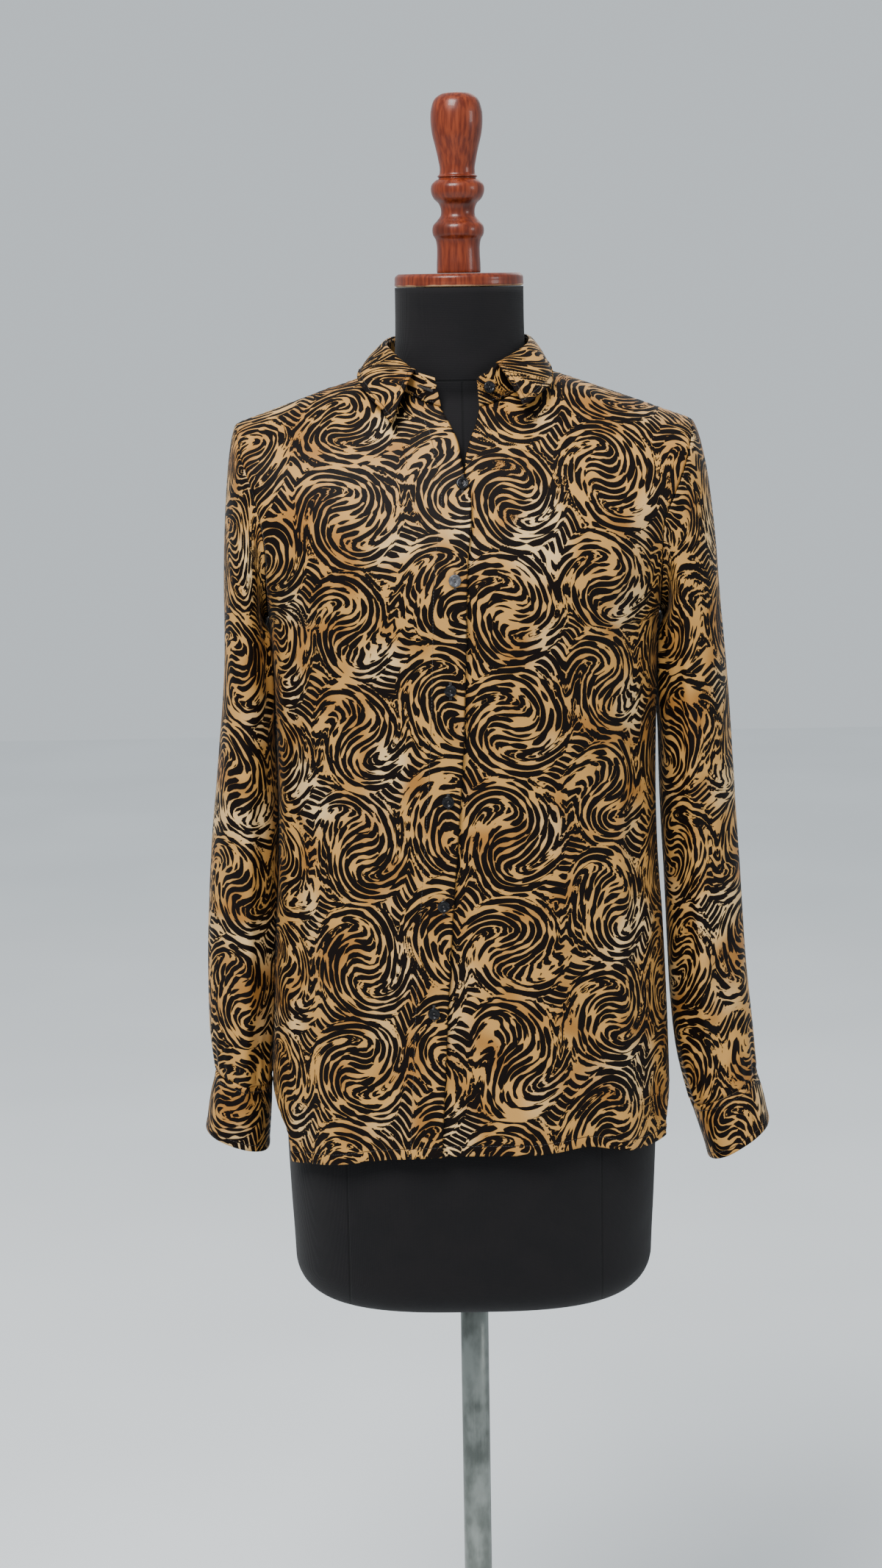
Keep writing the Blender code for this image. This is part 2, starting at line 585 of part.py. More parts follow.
def sleeve_grid(side, front_grid, back_grid, table, creases):
    """Rows from the armhole to the cuff seam. Each row is closed and begins at the top or the outside."""
    label = "left" if side < 0 else "right"
    front_edge = front_grid[LOWER_ROWS:, -1]
    back_edge = back_grid[LOWER_ROWS:, -1]
    loop = np.concatenate([
        (front_edge[-1:] + back_edge[-1:]) / 2, front_edge[-2:0:-1],
        (front_edge[:1] + back_edge[:1]) / 2, back_edge[1:-1]])
    loop = loop + np.array([side * SEAM_GAP, 0, 0])
    loop = even_loop(loop)[0]
    falling = lowered(table)
    first_height = table["height"][0]
    last_height = table["height"][-1]
    fine = np.linspace(0, 2 * math.pi, SECTION_STEPS, endpoint=False)
    section = section_points(falling, np.array([first_height]), fine, side)[0]
    angle = even_loop(section)[1] * 2 * math.pi
    first = section_points(falling, np.array([first_height]), angle, side)[0]
    first = first + np.array([0, 0, UNDERARM_LIFT]) * np.cos(angle)[:, None]
    near = settled_across(first[:, 2], first[:, 1], label) + 2 * CLEARANCE
    first[:, 0] = side * np.maximum(side * first[:, 0], near)
    blended = loop[:, 0] + (first[:, 0] - loop[:, 0]) * SLEEVE_REACH
    reach = np.maximum(side * blended, side * loop[:, 0] + SLEEVE_START)
    middle = np.stack([
        side * reach, loop[:, 1] + (first[:, 1] - loop[:, 1]) * SLEEVE_DEPTH_BLEND,
        loop[:, 2] + (first[:, 2] - loop[:, 2]) * SLEEVE_FALL], axis=-1)
    t = (np.arange(FAN_ROWS + 1) / FAN_ROWS)[:, None, None]
    fan = (1 - t) ** 2 * loop + 2 * t * (1 - t) * middle + t * t * first
    share = np.linspace(0, 1, SLEEVE_ROWS + 1)[1:]
    height = first_height + (last_height - first_height) * share
    rows = section_points(falling, height, angle, side)
    rows[..., 2] += UNDERARM_LIFT * np.cos(angle) * (1 - ease(share, 0, LIFT_END))[:, None]
    grid = np.concatenate([fan, rows])
    normal = normals(grid, True) * -side
    grid = grid + normal * crease_rise(creases, angle, grid[..., 2])[..., None]
    limit = settled_across(grid[..., 2], grid[..., 1], label) + CLEARANCE
    grid[1:, :, 0] = side * np.maximum(side * grid[1:, :, 0], limit[1:])
    return grid, angle


def cuff_grid(side, table, sleeve, angle):
    """Rows from the sleeve's last row to the open lower edge."""
    height = np.linspace(table["height"][0], table["height"][-1], CUFF_ROWS + 1)
    grid = section_points(lowered(table), height, angle, side)
    grid[0] = sleeve[-1] - np.array([0, 0, CUFF_GAP])
    limit = settled_across(grid[..., 2], grid[..., 1], "left") + CLEARANCE
    grid[..., 0] = side * np.maximum(side * grid[..., 0], limit)
    return grid


def resample(points, others, count):
    """Evenly spaced points along a line, with a second list carried along."""
    steps = np.linalg.norm(np.diff(points, axis=0), axis=1)
    run = np.concatenate([[0], np.cumsum(steps)])
    target = np.linspace(0, run[-1], count)
    new = np.stack([np.interp(target, run, points[:, k]) for k in range(3)], axis=-1)
    carried = np.stack([np.interp(target, run, others[:, k]) for k in range(3)], axis=-1)
    return new, carried


def neck_edge(grid):
    """The neckline of a panel from its centre to the shoulder, and the way across it."""
    edge = grid[-1, :CENTRE_COLUMNS + 1]
    across = edge - grid[-2, :CENTRE_COLUMNS + 1]
    along = np.gradient(edge, axis=0)
    along = along / np.linalg.norm(along, axis=1, keepdims=True)
    across = across - along * np.sum(across * along, axis=1, keepdims=True)
    across = across / np.linalg.norm(across, axis=1, keepdims=True)
    return edge, across


def lift_off_torso(points, clear):
    """Points raised until they clear the torso's cloth by a distance given."""
    x, y, z = points[..., 0], points[..., 1], points[..., 2]
    step = SLOPE_STEP

    def surface(x_at, y_at):
        front = height_on_torso(x_at, np.abs(y_at), "front_depth")
        back = height_on_torso(x_at, np.abs(y_at), "back_depth")
        return np.where(y_at < 0, front, back)

    base = surface(x, y)
    slope_y = (surface(x, y + step) - surface(x, y - step)) / (2 * step)
    slope_x = (surface(x + step, y) - surface(x - step, y)) / (2 * step)
    need = base + clear * np.sqrt(1 + np.clip(slope_x ** 2 + slope_y ** 2, 0, STEEPEST))
    lifted = points.copy()
    lifted[..., 2] = np.maximum(z, need)
    return lifted


def collar(front_right, front_left, back_left, back_right, material):
    """The stand on the neckline and the leaf that turns down over it."""
    runs = []
    for grid, backwards in ((front_right, False), (back_left, True), (back_right, False), (front_left, True)):
        edge, way = neck_edge(grid)
        runs.append((edge[::-1], way[::-1]) if backwards else (edge, way))
    edge = np.concatenate([runs[0][0]] + [run[0][1:] for run in runs[1:]])
    way = np.concatenate([runs[0][1]] + [run[1][1:] for run in runs[1:]])
    bottom, across = resample(edge, way, STAND_COLUMNS)
    across = across / np.linalg.norm(across, axis=1, keepdims=True)
    bottom = bottom + across * STAND_GAP
    share = np.linspace(0, 1, STAND_COLUMNS)
    top = np.stack([curve(STAND_TOP, k, share, "along") for k in "xyz"], axis=-1)
    t = np.linspace(0, 1, STAND_ROWS + 1)[:, None, None]
    stand = bottom + (top - bottom) * t
    wall("collar_stand", stand, -1, False, material, "Band that stands on the neckline")

    share = np.linspace(LEAF_EDGE["along"][0], LEAF_EDGE["along"][-1], LEAF_COLUMNS)
    root = np.stack([curve(STAND_TOP, k, share, "along") for k in "xyz"], axis=-1)
    lower = np.stack([curve(LEAF_EDGE, k, share, "along") for k in "xyz"], axis=-1)
    along = np.gradient(root, axis=0)
    outward = np.stack([along[:, 1], -along[:, 0], 0 * along[:, 0]], axis=-1)
    outward = outward / np.linalg.norm(outward, axis=1, keepdims=True)
    if np.sum(outward * root) < 0:
        outward = -outward
    up = np.array([0, 0, 1.0])
    above = up * (SEAM_GAP + CLOTH_THICKNESS)
    turned = root + outward * LEAF_ROLL - up * LEAF_DROP
    rows = [root - outward * CLOTH_THICKNESS + above, root + outward * LEAF_CREST + above, turned]
    for k in range(1, LEAF_ROWS + 1):
        t = k / LEAF_ROWS
        bulge = 4 * t * (1 - t) * (outward * LEAF_BULGE + up * LEAF_BULGE_UP)
        rows.append(turned + (lower - turned) * t + bulge)
    leaf = np.stack(rows)
    leaf[3:] = lift_off_torso(leaf[3:], CLOTH_THICKNESS + LAP_RISE + CLEARANCE)
    wall("collar_leaf", leaf, 1, False, material, "Turned-down leaf of the collar")
    return stand


def button(name, centre, normal, material, place):
    """A flat round button with rounded edges, lying on the cloth."""
    normal = normal / np.linalg.norm(normal)
    aside = np.cross(np.array([0, 0, 1.0]), normal)
    aside = aside / np.linalg.norm(aside)
    upward = np.cross(normal, aside)
    angle = np.linspace(0, 2 * math.pi, BUTTON_SEGMENTS, endpoint=False)[:, None]
    base = centre + normal * BUTTON_GAP
    rings = []
    for radius, rise in zip(BUTTON_PROFILE["radius"], BUTTON_PROFILE["height"]):
        rings.append(base + radius * (aside * np.cos(angle) + upward * np.sin(angle)) + normal * rise)
    middle = base + normal * BUTTON_PROFILE["height"][-1]
    ring_solid(name, np.stack(rings), base, middle, material, place)


def placket_point(across, height):
    """Point of the lapping front's outer face, and its way out."""
    step = SLOPE_STEP

    def depth(x, z):
        base = torso_depth(x, z, "front_depth") + fold_rise(TORSO_FOLDS, x, z)
        return float(base + lap_rise(x, z) + SEAM_GAP / 2)

    x, z = np.array(across), np.array(height)
    slope_x = (depth(x + step, z) - depth(x - step, z)) / (2 * step)
    slope_z = (depth(x, z + step) - depth(x, z - step)) / (2 * step)
    return np.array([across, -depth(x, z), height]), np.array([-slope_x, -1.0, -slope_z])


def form_reach(z, dx, dy):
    """How far the form may reach each way and stay inside the torso's cloth."""
    low, high = np.zeros(z.shape), np.full(z.shape, FORM_LIMIT)
    cloth_depth = np.where(dy < 0, curve(TORSO, "front_depth", z), curve(TORSO, "back_depth", z))
    raised = z + FORM_INSET
    sideways = np.abs(dy) < SMALLEST
    for _ in range(REACH_STEPS):
        radius = (low + high) / 2
        x, y = radius * dx, radius * dy
        limit = cloth_depth * plan(x, raised) * crown(x, raised)
        shoulder = raised < ridge(np.abs(x) + FORM_SHOULDER_END * sideways)
        side = np.abs(x) + FORM_INSET < curve(TORSO, "half_width", raised)
        inside = shoulder & side & (sideways | (np.abs(y) + FORM_INSET < limit))
        low, high = np.where(inside, radius, low), np.where(inside, high, radius)
    return low


def form_body(material):
    """The torso of the dress form: rings from its underside to the top of its neck."""
    turn = np.linspace(0, math.pi / 2, EDGE_ROWS)
    heights = np.concatenate([FORM_BOTTOM + FORM_EDGE_RADIUS * (1 - np.cos(turn)), FORM_LEVELS])
    inset = np.concatenate([FORM_EDGE_RADIUS * (1 - np.sin(turn)), np.zeros(len(FORM_LEVELS))])
    angle = np.linspace(0, 2 * math.pi, FORM_SEGMENTS, endpoint=False)
    dx, dy = np.sin(angle), -np.cos(angle)
    z = np.broadcast_to(heights[:, None], (len(heights), FORM_SEGMENTS))
    depth = np.where(dy < 0, curve(FORM, "front_depth", z), curve(FORM, "back_depth", z))
    half = curve(FORM, "half_width", z)
    own = ((np.abs(dx) / half) ** PLAN_POWER + (np.abs(dy) / depth) ** PLAN_POWER) ** (-1 / PLAN_POWER)
    reach = form_reach(z, dx, dy)
    flare = NECK_FLARE * np.exp(-np.clip(z - NECK_FLARE_HEIGHT, 0, 1) / NECK_FLARE_LENGTH)
    neck = np.where(z > NECK_START, NECK_RADIUS + flare * (z > NECK_FLARE_START), 0)
    radius = np.minimum(own, np.maximum(reach, neck)) - inset[:, None]
    rings = np.stack([radius * dx, radius * dy, z], axis=-1)
    ends = (0, 0, FORM_BOTTOM), (0, 0, heights[-1])
    ring_solid("form_body", rings, *ends, material, "Torso of the dress form, inside the blouse")


print_cloth = make_material("printed_satin", (0.35, 0.24, 0.11), 0.35)
jersey = make_material("black_jersey", (0.018, 0.017, 0.018), 0.85)
wood = make_material("lacquered_wood", (0.22, 0.035, 0.012), 0.25)
steel = make_material("tube_steel", (0.45, 0.47, 0.45), 0.35, 1.0)
base_paint = make_material("base_paint", (0.02, 0.02, 0.022), 0.5)
button_plastic = make_material("button_plastic", (0.015, 0.015, 0.017), 0.2)

front_right_grid = half_panel(-1, True, LAPPING_EDGE)
front_left_grid = half_panel(1, True, LAPPED_EDGE)
back_left_view = half_panel(-1, False, None)
back_right_view = half_panel(1, False, None)
back_grid = np.concatenate([back_left_view[:, ::-1], back_right_view[:, 1:]], axis=1)

wall("front_right", front_right_grid, -1, False, print_cloth, "Wearer's right front, lapping over")
wall("front_left", front_left_grid, 1, False, print_cloth, "Wearer's left front, lapped under")
wall("back", back_grid, -1, False, print_cloth, "Back")

sleeve_right, turn_right = sleeve_grid(
    -1, front_right_grid, back_left_view, SLEEVE_LEFT_VIEW, CREASES_LEFT_VIEW)
sleeve_left, turn_left = sleeve_grid(
    1, front_left_grid, back_right_view, SLEEVE_RIGHT_VIEW, CREASES_RIGHT_VIEW)
wall("sleeve_right", sleeve_right, -1, True, print_cloth, "Wearer's right sleeve", upright_rim=True)
wall("sleeve_left", sleeve_left, 1, True, print_cloth, "Wearer's left sleeve", upright_rim=True)
cuff_right = cuff_grid(-1, CUFF_LEFT_VIEW, sleeve_right, turn_right)
cuff_left = cuff_grid(1, CUFF_RIGHT_VIEW, sleeve_left, turn_left)
wall("cuff_right", cuff_right, -1, True, print_cloth, "Wearer's right cuff")
wall("cuff_left", cuff_left, 1, True, print_cloth, "Wearer's left cuff")

stand_grid = collar(front_right_grid, front_left_grid, back_left_view, back_right_view, print_cloth)

for index, (button_x, button_z) in enumerate(zip(FRONT_BUTTONS["across"], FRONT_BUTTONS["height"])):
    spot, way_out = placket_point(button_x, button_z)
    button(f"button_{index + 1}", spot, way_out, button_plastic, "On the placket")

stand_at = int(round(STAND_BUTTON_ALONG * (STAND_COLUMNS - 1)))
stand_low, stand_high = stand_grid[0, stand_at], stand_grid[-1, stand_at]
stand_way = np.cross(stand_high - stand_low, stand_grid[0, stand_at - 1] - stand_low)
if stand_way[1] > 0:
    stand_way = -stand_way
stand_spot = stand_low + (stand_high - stand_low) * STAND_BUTTON_RISE
button("button_stand", stand_spot, stand_way, button_plastic, "On the wearer's left end of the collar stand")

form_body(jersey)
lathe("neck_plate", NECK_PLATE, FINE_SEGMENTS, wood, "Turned plate on the neck")
lathe("finial", FINIAL, ROUND_SEGMENTS, wood, "Turned knob on the neck plate")
pole_profile = {
    "radius": (0, POLE_RADIUS, POLE_RADIUS, 0),
    "height": (POLE_BOTTOM, POLE_BOTTOM, POLE_TOP, POLE_TOP),
}
lathe("pole", pole_profile, ROUND_SEGMENTS, steel, "Steel tube from the base to the form")
lathe("base", BASE, BASE_SEGMENTS, base_paint, "Round base on the floor")
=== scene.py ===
"""A printed satin blouse on a limbless dress form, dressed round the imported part.

Metres, +Z up. The pole's axis is the Z axis and the blouse faces -Y. Viewer's left is -X.
"""
import math

import bpy
import numpy as np
from mathutils import Euler, Matrix, Vector


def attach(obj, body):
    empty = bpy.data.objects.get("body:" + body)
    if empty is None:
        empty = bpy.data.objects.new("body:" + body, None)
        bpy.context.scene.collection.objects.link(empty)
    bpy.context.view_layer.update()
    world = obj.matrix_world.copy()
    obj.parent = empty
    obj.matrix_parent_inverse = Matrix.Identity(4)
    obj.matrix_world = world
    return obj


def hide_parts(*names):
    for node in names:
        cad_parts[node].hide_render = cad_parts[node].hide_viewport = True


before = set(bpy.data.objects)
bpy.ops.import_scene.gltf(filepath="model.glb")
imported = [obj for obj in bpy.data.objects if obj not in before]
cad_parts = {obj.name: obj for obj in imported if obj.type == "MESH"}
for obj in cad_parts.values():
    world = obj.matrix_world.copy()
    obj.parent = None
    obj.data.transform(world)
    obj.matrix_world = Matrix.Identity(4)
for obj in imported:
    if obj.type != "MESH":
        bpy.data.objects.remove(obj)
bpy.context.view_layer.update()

# Sizes of the solids, which the fine surfaces follow. Four differ from the solids: the cloth's wall is 0.9 mm
# thick for 1.2 mm, each sleeve's front crease is narrower, the collar leaf bulges half as much and the base's
# rim is rounded.
CLOTH_THICKNESS = 0.0009
SEAM_GAP = 0.0005
CLEARANCE = 0.0008
TORSO = {
    "height": (
        0.730, 0.800, 0.850, 0.900, 0.950, 1.000, 1.050, 1.100, 1.160, 1.205, 1.215,
        1.250, 1.300, 1.340, 1.360, 1.480),
    "half_width": (
        0.1785, 0.1780, 0.1765, 0.1745, 0.1720, 0.1685, 0.1668, 0.1668, 0.1685, 0.1698, 0.1704,
        0.1810, 0.2150, 0.2740, 0.3300, 0.4000),
    "front_depth": (
        0.1240, 0.1235, 0.1230, 0.1230, 0.1230, 0.1235, 0.1245, 0.1265, 0.1300, 0.1333, 0.1340,
        0.1385, 0.1400, 0.1400, 0.1400, 0.1400),
    "back_depth": (
        0.1200, 0.1190, 0.1175, 0.1150, 0.1110, 0.1070, 0.1050, 0.1060, 0.1090, 0.1125, 0.1130,
        0.1160, 0.1180, 0.1180, 0.1180, 0.1180),
}
PLAN_POWER = 2.35
CROWN_POWER = 1.7
UNDERARM_HEIGHT = 1.215
RIDGE_HEIGHT = 1.4546
SHOULDER_SLOPE = 0.3594
RIDGE_ROUNDING = 0.0006
NECK_POINT = 0.067
NECK_FRONT_DEPTH = 0.0735
NECK_BACK_DEPTH = 0.0600
ARMHOLE = {
    "height": (1.215, 1.250, 1.280, 1.300, 1.320, 1.340, 1.360, 1.385, 1.460),
    "left": (0.1704, 0.1697, 0.1688, 0.1712, 0.1755, 0.1815, 0.1885, 0.1940, 0.2000),
    "right": (0.1704, 0.1694, 0.1688, 0.1700, 0.1780, 0.1865, 0.1930, 0.1995, 0.2050),
}
VENT_HEIGHT = 0.797
VENT = {
    "height": (0.730, 0.752, 0.766, 0.784, 0.797),
    "left": (0.1605, 0.1615, 0.1640, 0.1730, 0.1780),
    "right": (0.1725, 0.1730, 0.1740, 0.1768, 0.1780),
}
HEM = {
    "across": (-0.180, -0.156, -0.140, -0.115, -0.080, -0.030, 0.035, 0.075, 0.100, 0.135, 0.180),
    "height": (0.7400, 0.7410, 0.7440, 0.7490, 0.7550, 0.7600, 0.7600, 0.7605, 0.7620, 0.7540, 0.7520),
}
LAPPING_EDGE = {
    "height": (
        0.730, 0.770, 0.848, 0.938, 1.002, 1.066, 1.128, 1.190, 1.276,
        1.312, 1.330, 1.343, 1.355, 1.371, 1.384, 1.397, 1.430),
    "across": (
        -0.0285, -0.0262, -0.0217, -0.0164, -0.0116, -0.0064, -0.0024, 0.0000, 0.0032,
        0.0064, 0.0058, 0.0018, -0.0010, -0.0040, -0.0100, -0.0173, -0.0240),
}
LAPPED_EDGE = {
    "height": (
        0.730, 0.770, 0.848, 0.938, 1.002, 1.066, 1.128, 1.190, 1.250,
        1.290, 1.320, 1.3445, 1.358, 1.372, 1.385, 1.394, 1.430),
    "across": (
        -0.0530, -0.0510, -0.0465, -0.0415, -0.0365, -0.0310, -0.0270, -0.0245, -0.0195,
        -0.0130, -0.0055, 0.0015, 0.0028, 0.0068, 0.0120, 0.0145, 0.0160),
}
LAP_RISE = 0.0024
LAP_RUN = 0.030
LAP_MARGIN = 0.005
TORSO_FOLDS = {
    "top": (-0.143, -0.112, -0.070, 0.045, 0.095, 0.134),
    "hem": (-0.148, -0.116, -0.074, 0.050, 0.100, 0.136),
    "width": (0.0130, 0.0160, 0.0180, 0.0200, 0.0150, 0.0140),
    "rise": (-0.0034, 0.0030, -0.0022, 0.0026, -0.0026, 0.0032),
    "start": (1.22, 1.16, 1.10, 1.05, 1.12, 1.18),
}
BACK_FOLDS = {
    "top": (-0.095, -0.040, 0.015, 0.070, 0.115),
    "hem": (-0.110, -0.046, 0.018, 0.078, 0.125),
    "width": (0.0180, 0.0180, 0.0180, 0.0180, 0.0150),
    "rise": (0.0030, -0.0022, 0.0030, -0.0024, 0.0028),
    "start": (1.20, 1.15, 1.20, 1.15, 1.20),
}
FOLD_BLEND = 0.30
FIRST_TOP = 1.40
FIRST_HEM = 0.76
NECK_BUNCHING = 0.75
EDGE_STILLNESS = 8
SMALLEST = 1e-6
SETTLE_STEPS = 12

SLEEVE_LEFT_VIEW = {
    "height": (1.205, 1.160, 1.100, 1.040, 0.980, 0.920, 0.870, 0.835, 0.8065),
    "outer": (0.2090, 0.2107, 0.2175, 0.2240, 0.2292, 0.2320, 0.2326, 0.2322, 0.2285),
    "inner": (0.1680, 0.1672, 0.1650, 0.1640, 0.1645, 0.1668, 0.1692, 0.1750, 0.1785),
    "front": (0.0660, 0.0660, 0.0635, 0.0605, 0.0580, 0.0560, 0.0545, 0.0525, 0.0490),
    "back": (0.0620, 0.0600, 0.0560, 0.0520, 0.0490, 0.0470, 0.0450, 0.0430, 0.0410),
    "tilt": (0.00, 0.00, 0.00, 0.00, 0.02, 0.05, 0.10, 0.18, 0.24),
}
SLEEVE_RIGHT_VIEW = {
    "height": (1.205, 1.160, 1.100, 1.040, 0.980, 0.920, 0.870, 0.830, 0.7880),
    "outer": (0.2240, 0.2280, 0.2335, 0.2376, 0.2418, 0.2450, 0.2492, 0.2530, 0.2560),
    "inner": (0.1685, 0.1690, 0.1695, 0.1710, 0.1742, 0.1768, 0.1795, 0.1845, 0.1965),
    "front": (0.0660, 0.0660, 0.0635, 0.0605, 0.0580, 0.0560, 0.0545, 0.0525, 0.0490),
    "back": (0.0620, 0.0600, 0.0560, 0.0520, 0.0490, 0.0470, 0.0450, 0.0430, 0.0410),
    "tilt": (0.00, 0.00, 0.00, 0.00, 0.02, 0.06, 0.12, 0.28, 0.48),
}
CUFF_LEFT_VIEW = {
    "height": (0.8060, 0.7800, 0.7480),
    "outer": (0.2280, 0.2335, 0.2385),
    "inner": (0.1788, 0.1800, 0.1825),
    "front": (0.0490, 0.0485, 0.0480),
    "back": (0.0410, 0.0405, 0.0400),
    "tilt": (0.24, 0.30, 0.36),
}
CUFF_RIGHT_VIEW = {
    "height": (0.7875, 0.7650, 0.7400),
    "outer": (0.2555, 0.2620, 0.2670),
    "inner": (0.1970, 0.2050, 0.2130),
    "front": (0.0490, 0.0485, 0.0480),
    "back": (0.0410, 0.0405, 0.0400),
    "tilt": (0.48, 0.56, 0.64),
}
CUFF_GAP = 0.0004
UNDERARM_LIFT = 0.012
SLEEVE_START = 0.012
SLEEVE_POWER = 2.25
SLEEVE_REACH = 0.65
SLEEVE_DEPTH_BLEND = 0.55
SLEEVE_FALL = 0.10
LIFT_END = 0.35
CREASES_LEFT_VIEW = {
    "place": (97.0, 55.0, 135.0, 250.0),
    "width": (10.0, 22.0, 20.0, 26.0),
    "rise": (-0.0064, 0.0035, 0.0030, -0.0050),
    "top": (1.10, 1.05, 1.02, 1.10),
    "bottom": (0.80, 0.86, 0.84, 0.86),
}
CREASES_RIGHT_VIEW = {
    "place": (100.0, 60.0, 140.0, 250.0),
    "width": (10.0, 24.0, 20.0, 26.0),
    "rise": (-0.0064, 0.0030, 0.0030, -0.0050),
    "top": (1.28, 1.10, 1.10, 1.10),
    "bottom": (0.86, 0.86, 0.86, 0.86),
}
CREASE_BLEND = 0.08

STAND_TOP = {
    "along": (0.000, 0.055, 0.160, 0.270, 0.400, 0.525, 0.650, 0.780, 0.880, 0.955, 1.000),
    "x": (-0.0225, -0.0380, -0.0575, -0.0640, -0.0470, 0.0000, 0.0470, 0.0600, 0.0520, 0.0300, 0.0134),
    "y": (-0.0680, -0.0600, -0.0330, 0.0000, 0.0430, 0.0615, 0.0430, 0.0000, -0.0350, -0.0600, -0.0690),
    "z": (1.4225, 1.4275, 1.4420, 1.4505, 1.4550, 1.4560, 1.4550, 1.4515, 1.4435, 1.4320, 1.4215),
}
LEAF_EDGE = {
    "along": (0.055, 0.090, 0.120, 0.160, 0.270, 0.400, 0.525, 0.650, 0.780, 0.870, 0.920, 0.955),
    "x": (
        -0.0568, -0.0650, -0.0745, -0.0835, -0.0862, -0.0672,
        0.0000, 0.0665, 0.0752, 0.0752, 0.0640, 0.0500),
    "y": (
        -0.0830, -0.0700, -0.0580, -0.0400, -0.0020, 0.0550,
        0.0760, 0.0550, -0.0020, -0.0420, -0.0640, -0.0830),
    "z": (
        1.3850, 1.3925, 1.4000, 1.4090, 1.4235, 1.4150,
        1.4110, 1.4150, 1.4260, 1.4150, 1.4065, 1.3970),
}
LEAF_BULGE = 0.0020
LEAF_BULGE_UP = 0.0008
LEAF_ROLL = 0.0042
LEAF_CREST = 0.0012
LEAF_DROP = 0.0012
STAND_GAP = 0.0008
SLOPE_STEP = 0.0005
STEEPEST = 9.0

FRONT_BUTTONS = {
    "across": (-0.0006, -0.0083, -0.0134, -0.0168, -0.0220, -0.0317),
    "height": (1.3365, 1.2583, 1.1663, 1.0714, 0.9810, 0.8876),
}
BUTTON_RADIUS = 0.0053
BUTTON_RISE = 0.0022
BUTTON_GAP = 0.0005
STAND_BUTTON_ALONG = 0.975
STAND_BUTTON_RISE = 0.50

FORM = {
    "height": (
        0.603, 0.640, 0.700, 0.760, 0.820, 0.880, 0.940, 1.000, 1.050, 1.100, 1.160, 1.220,
        1.270, 1.320, 1.360, 1.400, 1.500),
    "half_width": (
        0.1605, 0.1612, 0.1640, 0.1660, 0.1655, 0.1600, 0.1490, 0.1360, 0.1300, 0.1340, 0.1440,
        0.1520, 0.1580, 0.1660, 0.1720, 0.1760, 0.1760),
    "front_depth": (
        0.1080, 0.1090, 0.1110, 0.1120, 0.1110, 0.1070, 0.1010, 0.0960, 0.0950, 0.1000, 0.1140,
        0.1240, 0.1300, 0.1300, 0.1300, 0.1300, 0.1300),
    "back_depth": (
        0.1080, 0.1100, 0.1130, 0.1140, 0.1120, 0.1050, 0.0960, 0.0880, 0.0850, 0.0880, 0.0960,
        0.1030, 0.1070, 0.1080, 0.1080, 0.1080, 0.1080),
}
FORM_BOTTOM = 0.603
FORM_TOP = 1.497
FORM_EDGE_RADIUS = 0.035
FORM_INSET = 0.0048
FORM_LIMIT = 0.300
NECK_RADIUS = 0.0552
NECK_START = 1.3400
NECK_FLARE_START = 1.4100
NECK_FLARE_HEIGHT = 1.4300
NECK_FLARE_LENGTH = 0.0140
NECK_FLARE = 0.0025
FORM_SHOULDER_END = 0.0040
REACH_STEPS = 30
NECK_PLATE = {
    "radius": (0.0000, 0.0530, 0.0550, 0.0552, 0.0548, 0.0520, 0.0000),
    "height": (1.4973, 1.4973, 1.4982, 1.5020, 1.5060, 1.5085, 1.5085),
}
FINIAL = {
    "radius": (
        0.0000, 0.0185, 0.0188, 0.0184, 0.0186, 0.0196, 0.0216, 0.0222, 0.0214, 0.0180, 0.0148,
        0.0146, 0.0162, 0.0205, 0.0228, 0.0222, 0.0185, 0.0160, 0.0172, 0.0156, 0.0150, 0.0162,
        0.0186, 0.0210, 0.0222, 0.0216, 0.0184, 0.0120, 0.0000),
    "height": (
        1.5088, 1.5088, 1.5150, 1.5250, 1.5330, 1.5375, 1.5410, 1.5450, 1.5490, 1.5530, 1.5575,
        1.5625, 1.5670, 1.5715, 1.5775, 1.5830, 1.5868, 1.5885, 1.5900, 1.5915, 1.5950, 1.6040,
        1.6150, 1.6250, 1.6370, 1.6460, 1.6545, 1.6590, 1.6605),
}
POLE = {
    "radius": (0.0000, 0.0120, 0.0127, 0.0127, 0.0120, 0.0000),
    "height": (0.0123, 0.0123, 0.0130, 0.6020, 0.6027, 0.6027),
}
BASE = {
    "radius": (
        0.0000, 0.1780, 0.1794, 0.1800, 0.1800, 0.1794, 0.1770, 0.0400, 0.0240, 0.0225, 0.0210,
        0.0132, 0.0132, 0.0000),
    "height": (
        0.0000, 0.0000, 0.0006, 0.0020, 0.0060, 0.0074, 0.0080, 0.0120, 0.0140, 0.0480, 0.0500,
        0.0500, 0.0120, 0.0120),
}

# How finely each surface is divided.
CENTRE_COLUMNS = 30
SIDE_COLUMNS = 46
HEM_ROWS = (0.0, 0.0015, 0.0035, 0.0060, 0.0075, 0.0083, 0.0088, 0.0093, 0.0100, 0.0115)
VENT_ROWS = 22
LOWER_ROWS = 158
UPPER_ROWS = 90
LOOP_POINTS = 128
FAN_ROWS = 36
SLEEVE_ROWS = 150
CUFF_ROWS = 22
SECTION_STEPS = 1440
COLLAR_COLUMNS = 168
STAND_ROWS = 12
LEAF_ROWS = 32
FORM_SEGMENTS = 128
TURNED_SEGMENTS = 96

